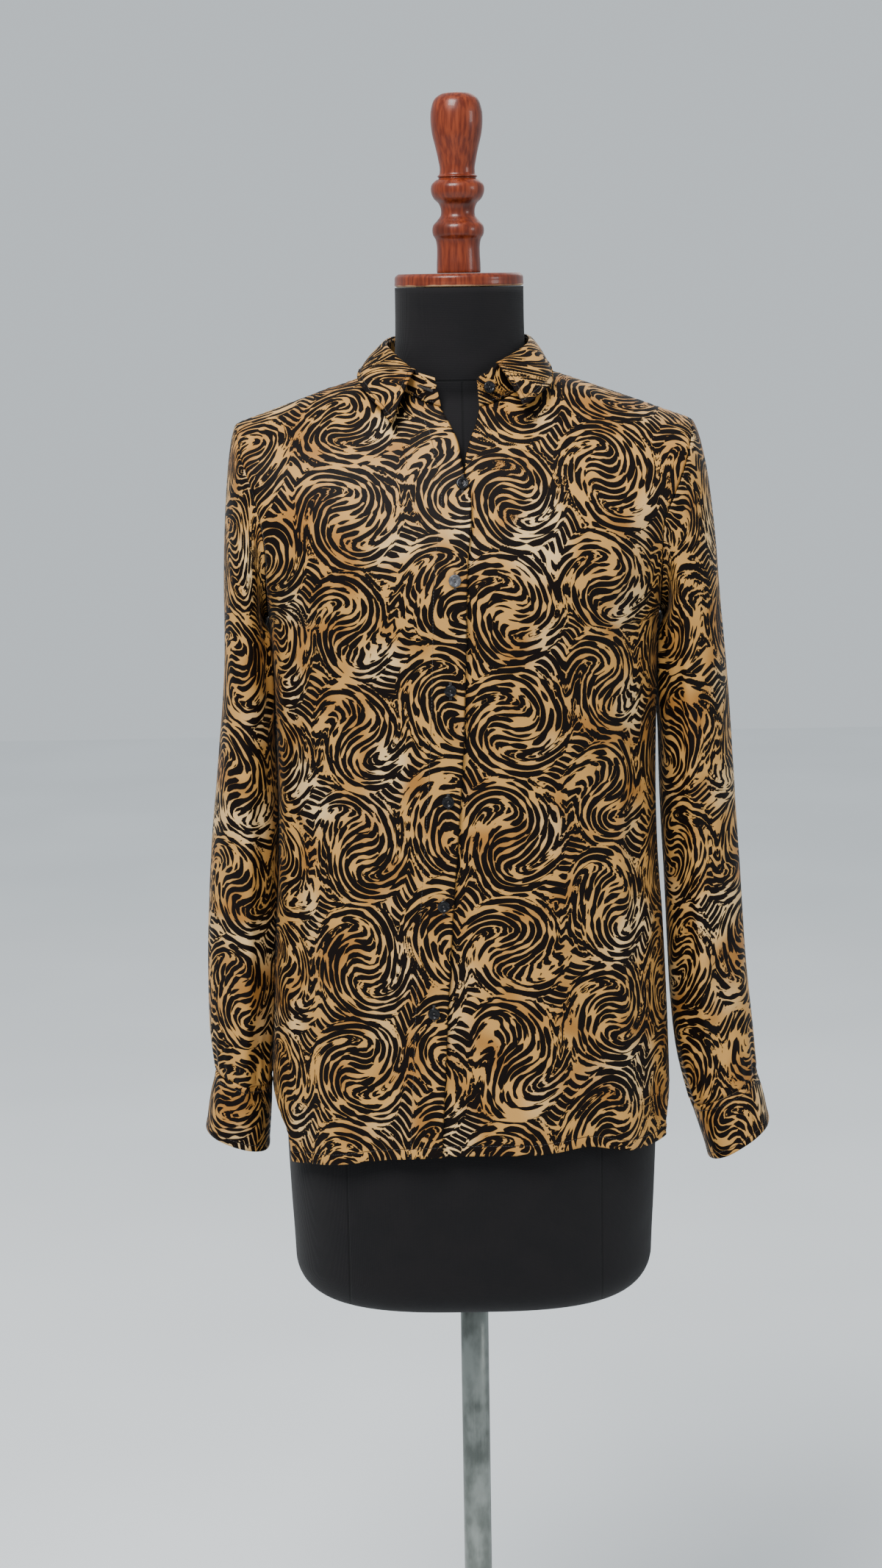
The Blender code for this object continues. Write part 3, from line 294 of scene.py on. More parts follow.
# Fine wrinkles: a stretch from one end to the other, its half width and its rise.
FRONT_WRINKLES = {
    "x0": (
        0.070, 0.082, -0.070, -0.150, -0.155, 0.150, 0.158, -0.040, 0.030, 0.120, -0.120,
        -0.156, -0.146, -0.134, 0.152, 0.140, 0.126, 0.070),
    "z0": (
        1.420, 1.412, 1.415, 1.290, 1.250, 1.290, 1.240, 1.375, 1.360, 1.050, 1.020,
        1.300, 1.280, 1.260, 1.230, 1.290, 1.180, 1.140),
    "x1": (
        0.128, 0.140, -0.130, -0.105, -0.118, 0.112, 0.122, -0.090, 0.085, 0.110, -0.125,
        -0.157, -0.152, -0.136, 0.158, 0.146, 0.134, 0.074),
    "z1": (
        1.392, 1.372, 1.392, 1.235, 1.170, 1.225, 1.150, 1.345, 1.330, 0.860, 0.850,
        0.700, 0.720, 0.800, 0.700, 0.740, 0.760, 0.760),
    "width": (
        0.0060, 0.0070, 0.0070, 0.0080, 0.0090, 0.0080, 0.0090, 0.0090, 0.0090, 0.0110, 0.0110,
        0.0042, 0.0048, 0.0060, 0.0050, 0.0056, 0.0075, 0.0100),
    "rise": (
        0.0014, -0.0010, 0.0010, 0.0016, -0.0014, 0.0015, -0.0013, 0.0008, 0.0008, 0.0012, 0.0011,
        0.0026, -0.0024, 0.0014, 0.0022, -0.0022, 0.0018, 0.0012),
}
BACK_WRINKLES = {
    "x0": (0.150, 0.155, -0.150, -0.155, 0.060, -0.060, 0.000),
    "z0": (1.300, 1.250, 1.300, 1.250, 1.400, 1.400, 1.390),
    "x1": (0.100, 0.120, -0.100, -0.120, 0.120, -0.120, 0.010),
    "z1": (1.230, 1.160, 1.230, 1.160, 1.370, 1.370, 1.250),
    "width": (0.0080, 0.0090, 0.0080, 0.0090, 0.0080, 0.0080, 0.0140),
    "rise": (0.0016, -0.0014, 0.0016, -0.0013, 0.0010, 0.0010, 0.0010),
}
# On a sleeve the places are degrees round it, and heights.
SLEEVE_WRINKLES = {
    "x0": (50.0, 60.0, 120.0, 130.0, 45.0, 70.0, 110.0, 290.0, 250.0, 300.0, 40.0, 95.0),
    "z0": (1.130, 1.085, 1.100, 1.060, 1.020, 0.930, 0.900, 1.120, 1.060, 0.960, 0.880, 1.180),
    "x1": (110.0, 125.0, 60.0, 70.0, 100.0, 115.0, 60.0, 230.0, 310.0, 240.0, 90.0, 60.0),
    "z1": (1.095, 1.045, 1.060, 1.025, 0.990, 0.905, 0.880, 1.080, 1.030, 0.930, 0.860, 1.130),
    "width": (0.006, 0.006, 0.006, 0.007, 0.008, 0.007, 0.007, 0.008, 0.008, 0.009, 0.007, 0.009),
    "rise": (
        0.0018, -0.0016, 0.0016, -0.0014, 0.0014, 0.0012, -0.0012, 0.0018, -0.0015, 0.0014, 0.0012,
        0.0012),
}
SLEEVE_RADIUS = 0.040
REST_REACH = 0.009
REST_HEIGHTS = (1.10, 1.16, 1.205, 1.225)
REST_SHARE = 0.9
UNEVEN_RISE = 0.0007
UNEVEN_ACROSS = 0.030
UNEVEN_ALONG = 0.090
UNEVEN_SHIFT = (31, 17)
QUICK_ACROSS = 2.3
QUICK_ALONG = 2.1
QUICK_SHIFT = (5, 3)
QUICK_SHARE = 0.8
# The length over which puckers and gathers stray from their even beat.
SWAY_RUN = 0.02
GATHERS = 17
GATHER_RISE = 0.0011
GATHER_LENGTH = 0.032
GATHER_SWAY = 2.5
GATHER_SHIFT = 9
GATHER_ROW = 2
GATHER_CLEAR = 0.004
SEAM_SINK = 0.0007
SEAM_REACH = 0.0016
PUCKER_RISE = 0.00028
PUCKER_REACH = 0.007
PUCKER_PITCH = 0.0085
PUCKER_SWAY = 3
PUCKER_ROW = 3
EDGE_CALM = 0.035
# Which table of chance numbers each piece's unevenness takes.
SEEDS = {
    "fronts": 71, "back": 75, "sleeve_right": 81, "sleeve_left": 85, "stand": 91, "leaf": 95,
    "puckers": 41, "print_across": 61, "print_along": 62,
}
NOISE_CELLS = 64

# The print: swirls on a slanting lattice, with strokes that keep an even width.
SWIRL_ACROSS = 0.086
SWIRL_ALONG = 0.097
SWIRL_STEP = 0.30
SWIRL_RADIUS = 0.047
SWIRL_TURN = 2.5
SWIRL_POWER = 1.25
SWIRL_SQUASH = 0.9
STROKE_DIRECTION = 0.9
STROKE_SPACING = 0.0059
SWAY = 0.006
SWAY_LENGTH = 0.07
PRINT_WARP = 0.007
PRINT_WARP_LENGTH = 0.06
PRINT_WARP_SHIFT = 20
FLOW_STEP = 0.0004
LEAST_CLOSENESS = 0.05
# Where each piece is cut from the printed cloth.
PRINT_CUT = {
    "front_right": (0.0130, 0.0080), "front_left": (0.0470, 0.0560), "back": (0.0300, 0.0300),
    "sleeve_right": (0.021, 0.043), "sleeve_left": (0.063, 0.012), "stand": (0.011, 0.027),
    "leaf": (0.012, 0.0185),
}
CUFF_CUT = (0.03, 0.06)

# Distances that stand for no row of stitches, and how a bare edge's own distance counts as a row of painted
# shadow.
NO_LINE = 0.1
EDGE_SHADOW_LINE = 0.55
MILLIMETRES = 1000

CAMERA_PLACE = (-0.0226, -2.5, 1.505)
CAMERA_PITCH = 10.0
CAMERA_ROLL = -0.96
CAMERA_LENS = 65.9
FILM_HEIGHT = 36.0
LAMPS = {
    "name": ("key", "side", "rear"),
    "place": ((-1.0, -2.1, 3.9), (2.8, -1.2, 1.9), (0.5, 2.4, 2.6)),
    "size": (1.6, 0.8, 1.6),
    "power": (230.0, 20.0, 10.0),
}
LAMP_AIM = (0, 0, 1.15)
SKY = (0.80, 0.87, 0.92, 1)
SKY_STRENGTH = 0.80
FLOOR_CORNERS = ((-6, -5, 0), (6, -5, 0), (6, 7, 0), (-6, 7, 0))


def curve(table, name, place, key="height"):
    """Cubic Hermite line through a table's column, with slopes from neighbours, level past its ends."""
    xs = np.asarray(table[key], float)
    ys = np.asarray(table[name], float)
    q = np.clip(np.asarray(place, float), xs[0], xs[-1])
    slope = np.gradient(ys, xs)
    i = np.clip(np.searchsorted(xs, q, side="right") - 1, 0, len(xs) - 2)
    h = xs[i + 1] - xs[i]
    t = (q - xs[i]) / h
    a = (1 + 2 * t) * (1 - t) ** 2
    b = t * (1 - t) ** 2
    c = t * t * (3 - 2 * t)
    d = t * t * (t - 1)
    return a * ys[i] + b * h * slope[i] + c * ys[i + 1] + d * h * slope[i + 1]


def ease(value, start, end):
    """3t^2 - 2t^3, zero before the start and one past the end."""
    t = np.clip((value - start) / (end - start), 0, 1)
    return t * t * (3 - 2 * t)


def value_noise(x, y, seed):
    """Numbers from 0 to 1 at whole places of a table, blended by 6t^5 - 15t^4 + 10t^3 between them."""
    n = NOISE_CELLS
    table = np.random.default_rng(seed).random((n, n))
    i, j = np.floor(x).astype(int), np.floor(y).astype(int)
    s, t = x - i, y - j
    s = s ** 3 * (s * (6 * s - 15) + 10)
    t = t ** 3 * (t * (6 * t - 15) + 10)
    low = table[i % n, j % n] * (1 - s) + table[(i + 1) % n, j % n] * s
    high = table[i % n, (j + 1) % n] * (1 - s) + table[(i + 1) % n, (j + 1) % n] * s
    return low * (1 - t) + high * t


def line_noise(x, row, seed):
    """Numbers from 0 to 1 along one row of the noise's table."""
    return value_noise(x, x * 0 + row, seed)


def ridge(across):
    """Height of the shoulder line: top - slope * sqrt(x^2 + rounding)."""
    return RIDGE_HEIGHT - SHOULDER_SLOPE * np.sqrt(across * across + RIDGE_ROUNDING)


def crown(across, height):
    """(1 - t^p)^(1/p), where t runs from 0 at the underarm to 1 at the shoulder line."""
    t = np.clip((height - UNDERARM_HEIGHT) / (ridge(across) - UNDERARM_HEIGHT), 0, 1)
    return np.clip(1 - t ** CROWN_POWER, 0, 1) ** (1 / CROWN_POWER)


def plan(across, height):
    """(1 - |x / half width|^p)^(1/p)."""
    q = np.clip(np.abs(across) / curve(TORSO, "half_width", height), 0, 1)
    return np.clip(1 - q ** PLAN_POWER, 0, 1) ** (1 / PLAN_POWER)


def torso_depth(across, height, column):
    """Depth of the torso's cloth: depth(z) * plan(x, z) * crown(x, z)."""
    return curve(TORSO, column, height) * plan(across, height) * crown(across, height)


def height_on_torso(across, depth, column):
    """Height where the upper torso has a depth: the crown turned round, settled in a few steps."""
    height = np.full(np.shape(across), FIRST_TOP)
    for _ in range(SETTLE_STEPS):
        level = curve(TORSO, column, height) * plan(across, height)
        part = np.clip(depth / np.maximum(level, SMALLEST), 0, 1)
        t = (1 - part ** CROWN_POWER) ** (1 / CROWN_POWER)
        height = UNDERARM_HEIGHT + t * (ridge(across) - UNDERARM_HEIGHT)
    return height


def stillness(across, height):
    """1 - (|x| / half width)^8, so that nothing stirs beside the side seams."""
    share = np.clip(np.abs(across) / curve(TORSO, "half_width", height), 0, 1)
    return 1 - share ** EDGE_STILLNESS


def fold_rise(table, across, height):
    """Sum of rise * exp(-((x - middle) / width)^2), each growing towards the hem."""
    total = np.zeros(np.broadcast(across, height).shape)
    names = ("top", "hem", "width", "rise", "start")
    for top, hem, width, rise, start in zip(*(table[name] for name in names)):
        fall = np.clip((UNDERARM_HEIGHT - height) / (UNDERARM_HEIGHT - FIRST_HEM), 0, 1)
        middle = top + (hem - top) * fall
        strength = ease(-height, -start, -start + FOLD_BLEND)
        total = total + rise * strength * np.exp(-((across - middle) / width) ** 2)
    return total * stillness(across, height)


def lap_rise(across, height):
    """How far the lapping front stands off where it covers the other front."""
    edge = curve(LAPPED_EDGE, "across", height)
    return LAP_RISE * ease(across, edge - LAP_RUN, edge - LAP_MARGIN)


def wrinkle_rise(table, x, z, stretch=1.0):
    """Sum of rise * exp(-(distance / width)^2) * (1 - s^2)^2 along each wrinkle, s from -1 to 1."""
    total = np.zeros(np.broadcast(x, z).shape)
    for x0, z0, x1, z1, width, rise in zip(*(table[k] for k in ("x0", "z0", "x1", "z1", "width", "rise"))):
        along = np.array([(x1 - x0) * stretch, z1 - z0])
        length = np.hypot(*along)
        along = along / length
        dx, dz = (x - x0) * stretch, z - z0
        run = dx * along[0] + dz * along[1]
        off = dz * along[0] - dx * along[1]
        s = np.clip(2 * run / length - 1, -1, 1)
        total = total + rise * np.exp(-(off / width) ** 2) * (1 - s * s) ** 2
    return total


def unevenness(x, z, seed):
    """Slow rise and fall of resting cloth, long down the piece and short across it."""
    across, along = x / UNEVEN_ACROSS, z / UNEVEN_ALONG
    slow = value_noise(across + UNEVEN_SHIFT[0], along + UNEVEN_SHIFT[1], seed)
    across, along = across * QUICK_ACROSS, along * QUICK_ALONG
    quick = value_noise(across + QUICK_SHIFT[0], along + QUICK_SHIFT[1], seed + 1)
    return UNEVEN_RISE * ((slow - 0.5) * 2 + (quick - 0.5) * QUICK_SHARE)


def run_along(grid, axis):
    """Lengths added up along an axis of a grid, from its first line."""
    steps = np.linalg.norm(np.diff(grid, axis=axis), axis=-1)
    pad = [(1, 0), (0, 0)] if axis == 0 else [(0, 0), (1, 0)]
    return np.pad(np.cumsum(steps, axis=axis), pad)


def seam_sink(distance, along):
    """-sink * exp(-(d / reach)^2) plus puckers, a sine along the seam that fades away from it."""
    fade = np.exp(-distance / PUCKER_REACH)
    sway = PUCKER_SWAY * line_noise(along / SWAY_RUN, PUCKER_ROW, SEEDS["puckers"])
    wave = np.sin(2 * math.pi * along / PUCKER_PITCH + sway)
    return PUCKER_RISE * fade * wave - SEAM_SINK * np.exp(-(distance / SEAM_REACH) ** 2)


def half_panel(side, front, inner_table):
    """Half of the torso as a grid, x = A(z) * sin(low + share * (high - low)), y = the torso's depth."""
    column = "front_depth" if front else "back_depth"
    label = "left" if side < 0 else "right"
    neck_depth = NECK_FRONT_DEPTH if front else NECK_BACK_DEPTH

    def inner(height):
        if inner_table is None:
            return np.zeros(np.shape(height))
        return side * curve(inner_table, "across", height)

    def outer(height):
        seam = curve(TORSO, "half_width", height)
        vent = curve(VENT, label, height)
        arm = curve(ARMHOLE, label, height)
        return np.where(height > UNDERARM_HEIGHT, arm, np.where(height < VENT_HEIGHT, vent, seam))

    def across(height, share):
        half = curve(TORSO, "half_width", height)
        low = np.arcsin(np.clip(inner(height) / half, -1, 1))
        high = np.arcsin(np.clip(outer(height) / half, -1, 1))
        return half * np.sin(low + share * (high - low))

    neck_height = float(ridge(np.array(NECK_POINT)))
    half = float(curve(TORSO, "half_width", neck_height))
    low = math.asin(float(inner(np.array(neck_height))) / half)
    high = math.asin(float(outer(np.array(neck_height))) / half)
    neck_share = (math.asin(NECK_POINT / half) - low) / (high - low)
    even = np.linspace(0, 1, CENTRE_COLUMNS + 1)
    centre = neck_share * ((1 - NECK_BUNCHING) * even + NECK_BUNCHING * np.sin(even * math.pi / 2))
    sideways = neck_share + (1 - neck_share) * np.linspace(0, 1, SIDE_COLUMNS + 1)[1:]
    share = np.concatenate([centre, sideways])
    on_neck = np.arange(len(share)) < CENTRE_COLUMNS
    top = np.full(len(share), FIRST_TOP)
    for _ in range(SETTLE_STEPS):
        x = across(top, share)
        dip = neck_depth * np.sqrt(np.clip(1 - (x / NECK_POINT) ** 2, 0, 1))
        top = np.where(on_neck, height_on_torso(x, dip, column), ridge(x))
    hem = np.full(len(share), FIRST_HEM)
    for _ in range(SETTLE_STEPS):
        hem = curve(HEM, "height", side * across(hem, share), "across")
    hem_rows = np.array(HEM_ROWS)[:, None]
    vent_rows = np.linspace(0, 1, VENT_ROWS - len(HEM_ROWS) + 2)[1:-1, None]
    rows_low = np.linspace(0, 1, LOWER_ROWS - VENT_ROWS + 1)[:, None]
    low_part = np.concatenate([
        hem + hem_rows, hem + HEM_ROWS[-1] + vent_rows * (VENT_HEIGHT - HEM_ROWS[-1] - hem),
        VENT_HEIGHT + rows_low * (UNDERARM_HEIGHT - VENT_HEIGHT) + 0 * hem])
    rows_high = np.linspace(0, 1, UPPER_ROWS + 1)[1:, None]
    reach = np.clip((top - UNDERARM_HEIGHT) / (ridge(across(top, share)) - UNDERARM_HEIGHT), 0, 1)
    turn = np.arcsin(np.clip(reach, 0, 1) ** (CROWN_POWER / 2))
    level = np.sin(rows_high * turn) ** (2 / CROWN_POWER)
    high_part = np.broadcast_to(top, level.shape).copy()
    for _ in range(SETTLE_STEPS):
        high_part = UNDERARM_HEIGHT + level * (ridge(across(high_part, share)) - UNDERARM_HEIGHT)
    z = np.concatenate([low_part, high_part])
    x = across(z, np.broadcast_to(share, z.shape))
    signed = side * x
    depth = torso_depth(x, z, column) + fold_rise(TORSO_FOLDS if front else BACK_FOLDS, signed, z)
    if inner_table is LAPPING_EDGE:
        depth = depth + lap_rise(signed, z)
    direction = -1 if front else 1
    return np.stack([signed, direction * (depth + SEAM_GAP / 2), z], axis=-1)


def normals(grid, closed):
    """Unit normals of a grid, from its columns crossed with its rows."""
    along_rows = np.gradient(grid, axis=0)
    if closed:
        along_columns = (np.roll(grid, -1, axis=1) - np.roll(grid, 1, axis=1)) / 2
    else:
        along_columns = np.gradient(grid, axis=1)
    cross = np.cross(along_columns, along_rows)
    return cross / np.linalg.norm(cross, axis=-1, keepdims=True)


def new_object(name, points, faces, material, loops=None):
    """A smooth object from an array of points and a list of faces, with UV maps by corner."""
    mesh = bpy.data.meshes.new(name)
    mesh.from_pydata(points.tolist(), [], faces)
    for title, values in (loops or {}).items():
        layer = mesh.uv_layers.new(name=title)
        layer.data.foreach_set("uv", np.asarray(values, np.float32).ravel())
    mesh.polygons.foreach_set("use_smooth", np.ones(len(mesh.polygons), bool))
    mesh.update()
    item = bpy.data.objects.new(name, mesh)
    bpy.context.scene.collection.objects.link(item)
    mesh.materials.append(material)
    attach(item, "root")
    return item


def swirl(u, v):
    """The stroke coordinate: a slanted line p whose cloth is turned round each swirl's centre.

    Each turn is turn * (1 - (r / R)^2)^power; then p = x cos + y sin, plus a slow sway along q.
    """
    at = (u / PRINT_WARP_LENGTH + PRINT_WARP_SHIFT, v / PRINT_WARP_LENGTH + PRINT_WARP_SHIFT)
    x = u + PRINT_WARP * (value_noise(*at, SEEDS["print_across"]) * 2 - 1)
    y = v + PRINT_WARP * (value_noise(*at, SEEDS["print_along"]) * 2 - 1)
    nearest = np.round(x / SWIRL_ACROSS)
    p, q = x.copy(), y.copy()
    for aside in (-1, 0, 1):
        i = nearest + aside
        shift = i * SWIRL_STEP * SWIRL_ALONG
        row = np.round((y - shift) / SWIRL_ALONG)
        for along in (-1, 0, 1):
            dx = x - i * SWIRL_ACROSS
            dy = y - (row + along) * SWIRL_ALONG - shift
            far = (dx ** 2 + (dy * SWIRL_SQUASH) ** 2) / SWIRL_RADIUS ** 2
            turn = SWIRL_TURN * np.clip(1 - far, 0, 1) ** SWIRL_POWER
            c, s = np.cos(turn), np.sin(turn)
            p += c * dx - s * dy - dx
            q += s * dx + c * dy - dy
    c, s = math.cos(STROKE_DIRECTION), math.sin(STROKE_DIRECTION)
    run, across = p * c + q * s, q * c - p * s
    return run + SWAY * np.sin(2 * math.pi * across / SWAY_LENGTH)


def flow(u, v):
    """Stroke count and its closeness, log2 of how much tighter than even the strokes lie."""
    step = FLOW_STEP
    here = swirl(u, v)
    slope = np.hypot((swirl(u + step, v) - here) / step, (swirl(u, v + step) - here) / step)
    return here / STROKE_SPACING, np.log2(np.maximum(slope, LEAST_CLOSENESS))


def cloth_wall(name, grid, u, v, outward, closed, material, upright_rim=False, lines=(NO_LINE, NO_LINE)):
    """A closed wall of cloth: the grid, the grid moved in by its thickness, and rims between them.

    Lines are distances from up to two stitch or edge lines, kept as a map in millimetres for painted shade.
    """
    normal = normals(grid, closed) * outward
    if upright_rim:
        normal[0, :, 0] = 0
        normal[0] = normal[0] / np.linalg.norm(normal[0], axis=-1, keepdims=True)
    rows, columns = grid.shape[:2]
    count = rows * columns
    points = np.concatenate([grid.reshape(-1, 3), (grid - CLOTH_THICKNESS * normal).reshape(-1, 3)])
    phase, closeness = flow(u, v)
    wide = columns + 1 if closed else columns
    maps = {
        "cloth": np.stack([u, v], axis=-1).reshape(-1, 2),
        "flow": np.stack([phase, closeness], axis=-1).reshape(-1, 2),
        # Distances from stitch lines and edges, along which the print paints shade.
        "seams": np.stack([line * MILLIMETRES + 0 * u for line in lines], axis=-1).reshape(-1, 2),
    }
    steps = columns if closed else columns - 1
    r, c = np.meshgrid(np.arange(rows - 1), np.arange(steps), indexing="ij")
    r, c = r.ravel(), c.ravel()
    face_row = np.stack([r, r, r + 1, r + 1], axis=-1)
    face_column = np.stack([c, c + 1, c + 1, c], axis=-1)
    sheets = [
        (face_row, face_column, np.zeros(4, int)),
        (face_row[:, ::-1], face_column[:, ::-1], np.ones(4, int))]
    c = np.arange(steps)
    for row, order in ((0, -1), (rows - 1, 1)):
        side = np.stack([c, c + 1, c + 1, c], axis=-1)[:, ::order]
        layer = np.array([0, 0, 1, 1])[::order]
        sheets.append((np.full(side.shape, row), side, layer))
    if not closed:
        r = np.arange(rows - 1)
        for column, order in ((0, 1), (columns - 1, -1)):
            side = np.stack([r, r + 1, r + 1, r], axis=-1)[:, ::order]
            layer = np.array([0, 0, 1, 1])[::order]
            sheets.append((side, np.full(side.shape, column), layer))
    faces = np.concatenate([
        row * columns + column % columns + layer * count for row, column, layer in sheets])
    corners = np.concatenate([row * wide + column for row, column, layer in sheets])
    if outward < 0:
        faces, corners = faces[:, ::-1], corners[:, ::-1]
    loops = {title: values[corners.ravel()] for title, values in maps.items()}
    return new_object(name, points, faces.tolist(), material, loops)


TURNED_STEPS = 6
TURNED_LEAST = 0.0005


def turned(name, profile, material, smooth=TURNED_STEPS):
    """A solid of revolution: x = r cos a, y = r sin a, its profile a curve through the table's points."""
    radius = np.asarray(profile["radius"], float)
    height = np.asarray(profile["height"], float)
    if smooth > 1:
        run = np.concatenate([[0], np.cumsum(np.hypot(np.diff(radius), np.diff(height)) + SMALLEST)])
        table = {"height": run, "radius": radius, "level": height}
        inner = run[1:-1]
        parts = np.linspace(0, 1, smooth, endpoint=False)
        fine = np.concatenate([(inner[:-1, None] + np.diff(inner)[:, None] * parts).ravel(), inner[-1:]])
        radius = np.concatenate([[0], np.maximum(curve(table, "radius", fine), TURNED_LEAST), [0]])
        height = np.concatenate([[height[0]], curve(table, "level", fine), [height[-1]]])
    angle = np.linspace(0, 2 * math.pi, TURNED_SEGMENTS, endpoint=False)
    ring = np.stack([
        radius[1:-1, None] * np.cos(angle), radius[1:-1, None] * np.sin(angle),
        np.broadcast_to(height[1:-1, None], (len(radius) - 2, len(angle)))], axis=-1)
    return ring_solid(name, ring, (0, 0, height[0]), (0, 0, height[-1]), material)


def ring_solid(name, rings, bottom, top, material):
    """Rings joined by four-cornered faces, with a fan of triangles to a point at each end."""
    rows, columns = rings.shape[:2]
    points = np.concatenate([rings.reshape(-1, 3), [bottom], [top]])
    r, c = np.meshgrid(np.arange(rows - 1), np.arange(columns), indexing="ij")
    r, c = r.ravel(), c.ravel()
    n = (c + 1) % columns
    a, b = r * columns, (r + 1) * columns
    walls = np.stack([a + c, a + n, b + n, b + c], axis=-1)
    c = np.arange(columns)
    n = (c + 1) % columns
    low = np.stack([c * 0 + rows * columns, n, c], axis=-1)
    a = (rows - 1) * columns
    high = np.stack([c * 0 + rows * columns + 1, a + c, a + n], axis=-1)
    return new_object(name, points, walls.tolist() + low.tolist() + high.tolist(), material)


class Finish:
    """A material with short ways to add and join its nodes."""

    def __init__(self, name, **surface):
        self.material = bpy.data.materials.new(name)
        self.material.use_nodes = True
        self.tree = self.material.node_tree
        self.shader = self.tree.nodes["Principled BSDF"]
        for socket, value in surface.items():
            self.shader.inputs[socket.replace("_", " ")].default_value = value

    def put(self, node, socket, value):
        if isinstance(value, bpy.types.NodeSocket):
            self.tree.links.new(value, node.inputs[socket])
        elif value is not None:
            node.inputs[socket].default_value = value

    def math(self, operation, *values, clamp=False):
        node = self.tree.nodes.new("ShaderNodeMath")
        node.operation = operation
        node.use_clamp = clamp
        for index, value in enumerate(values):
            self.put(node, index, value)
        return node.outputs[0]

    def vector(self, x, y, z):
        node = self.tree.nodes.new("ShaderNodeCombineXYZ")
        for index, value in enumerate((x, y, z)):
            self.put(node, index, value)
        return node.outputs[0]

    def noise(self, vector, scale=1.0, detail=0.0, contrast=1.0):
        node = self.tree.nodes.new("ShaderNodeTexNoise")
        self.put(node, "Vector", vector)
        self.put(node, "Scale", scale)
        self.put(node, "Detail", detail)
        centred = self.math("SUBTRACT", node.outputs["Fac"], 0.5)
        return self.math("MULTIPLY", centred, contrast)

    def split(self, vector):
        node = self.tree.nodes.new("ShaderNodeSeparateXYZ")
        self.tree.links.new(vector, node.inputs[0])
        return node.outputs

    def uv(self, title):
        node = self.tree.nodes.new("ShaderNodeUVMap")
        node.uv_map = title
        return self.split(node.outputs[0])[:2]

    def place(self, scale=(1, 1, 1)):
        coordinates = self.tree.nodes.new("ShaderNodeTexCoord")
        node = self.tree.nodes.new("ShaderNodeMapping")
        node.inputs["Scale"].default_value = scale
        self.tree.links.new(coordinates.outputs["Object"], node.inputs["Vector"])
        return node.outputs[0]

    def spread(self, value, low, high, out_low=0.0, out_high=1.0):
        node = self.tree.nodes.new("ShaderNodeMapRange")
        node.interpolation_type = "SMOOTHSTEP"
        for index, item in enumerate((value, low, high, out_low, out_high)):
            self.put(node, index, item)
        return node.outputs[0]

    def blend(self, share, first, second):
        node = self.tree.nodes.new("ShaderNodeMix")
        node.data_type = "RGBA"
        self.put(node, 0, share)
        for index, colour in ((6, first), (7, second)):
            value = colour if isinstance(colour, bpy.types.NodeSocket) else (*colour, 1)
            self.put(node, index, value)
        return node.outputs[2]

    def colour(self, socket):
        self.put(self.shader, "Base Color", socket)

    def rough(self, socket):
        self.put(self.shader, "Roughness", socket)

    def bump(self, height, distance, strength=1.0):
        node = self.tree.nodes.new("ShaderNodeBump")
        node.inputs["Strength"].default_value = strength
        node.inputs["Distance"].default_value = distance
        self.put(node, "Height", height)
        self.tree.links.new(node.outputs[0], self.shader.inputs["Normal"])


# The satin's colours and gloss, and the shape of the strokes of its print.
GOLD = (0.430, 0.225, 0.060)
GOLD_DEEP = (0.285, 0.125, 0.028)
CREAM = (0.600, 0.400, 0.180)
INK = (0.0030, 0.0011, 0.0006)
# How far the print is drawn towards ink along stitch lines and edges: painted shade.
PAINTED_LINE_SHADE = 0.7
SATIN_ROUGHNESS = 0.43
INK_ROUGHNESS = 0.62
STROKE_LENGTH = 0.0132
STROKE_WIDTH = 0.42
STROKE_CUT = 0.11
STROKE_RAMP = 0.40
STROKE_TAPER = 0.8
STROKE_SKEW = 0.34
STROKE_LEVELS = (-2, -1, 0, 1)
STROKE_EDGE = 0.02
STROKE_LEAST = 0.07
LEVEL_REACH = 0.75
LEVEL_FADE = 0.35
LEVEL_SHARE = 0.6
NEXT_STROKE = 1.37
BODY_SHIFT = 7.1
SKEW_SHIFT = 90.3
SKEW_SCALE = 42.0
# Layer of the noise, and the length of its clouds in metres.
TONES = {"cast": (3.0, 0.055), "deep": (8.0, 0.030)}
DEEP_SPREAD = (-0.1, 0.5)
PALE_SPREAD = (0.15, 0.75)
PALE_WAVES = 0.25
PALE_ACROSS = 2.2
PALE_ALONG = 3.6
GROOVE_INSIDE = 0.15
GROOVE_OUTSIDE = 0.65
WEAVE = (900.0, 2600.0)
WEAVE_SHARE = 0.10
NOISE_CONTRAST = 1.7


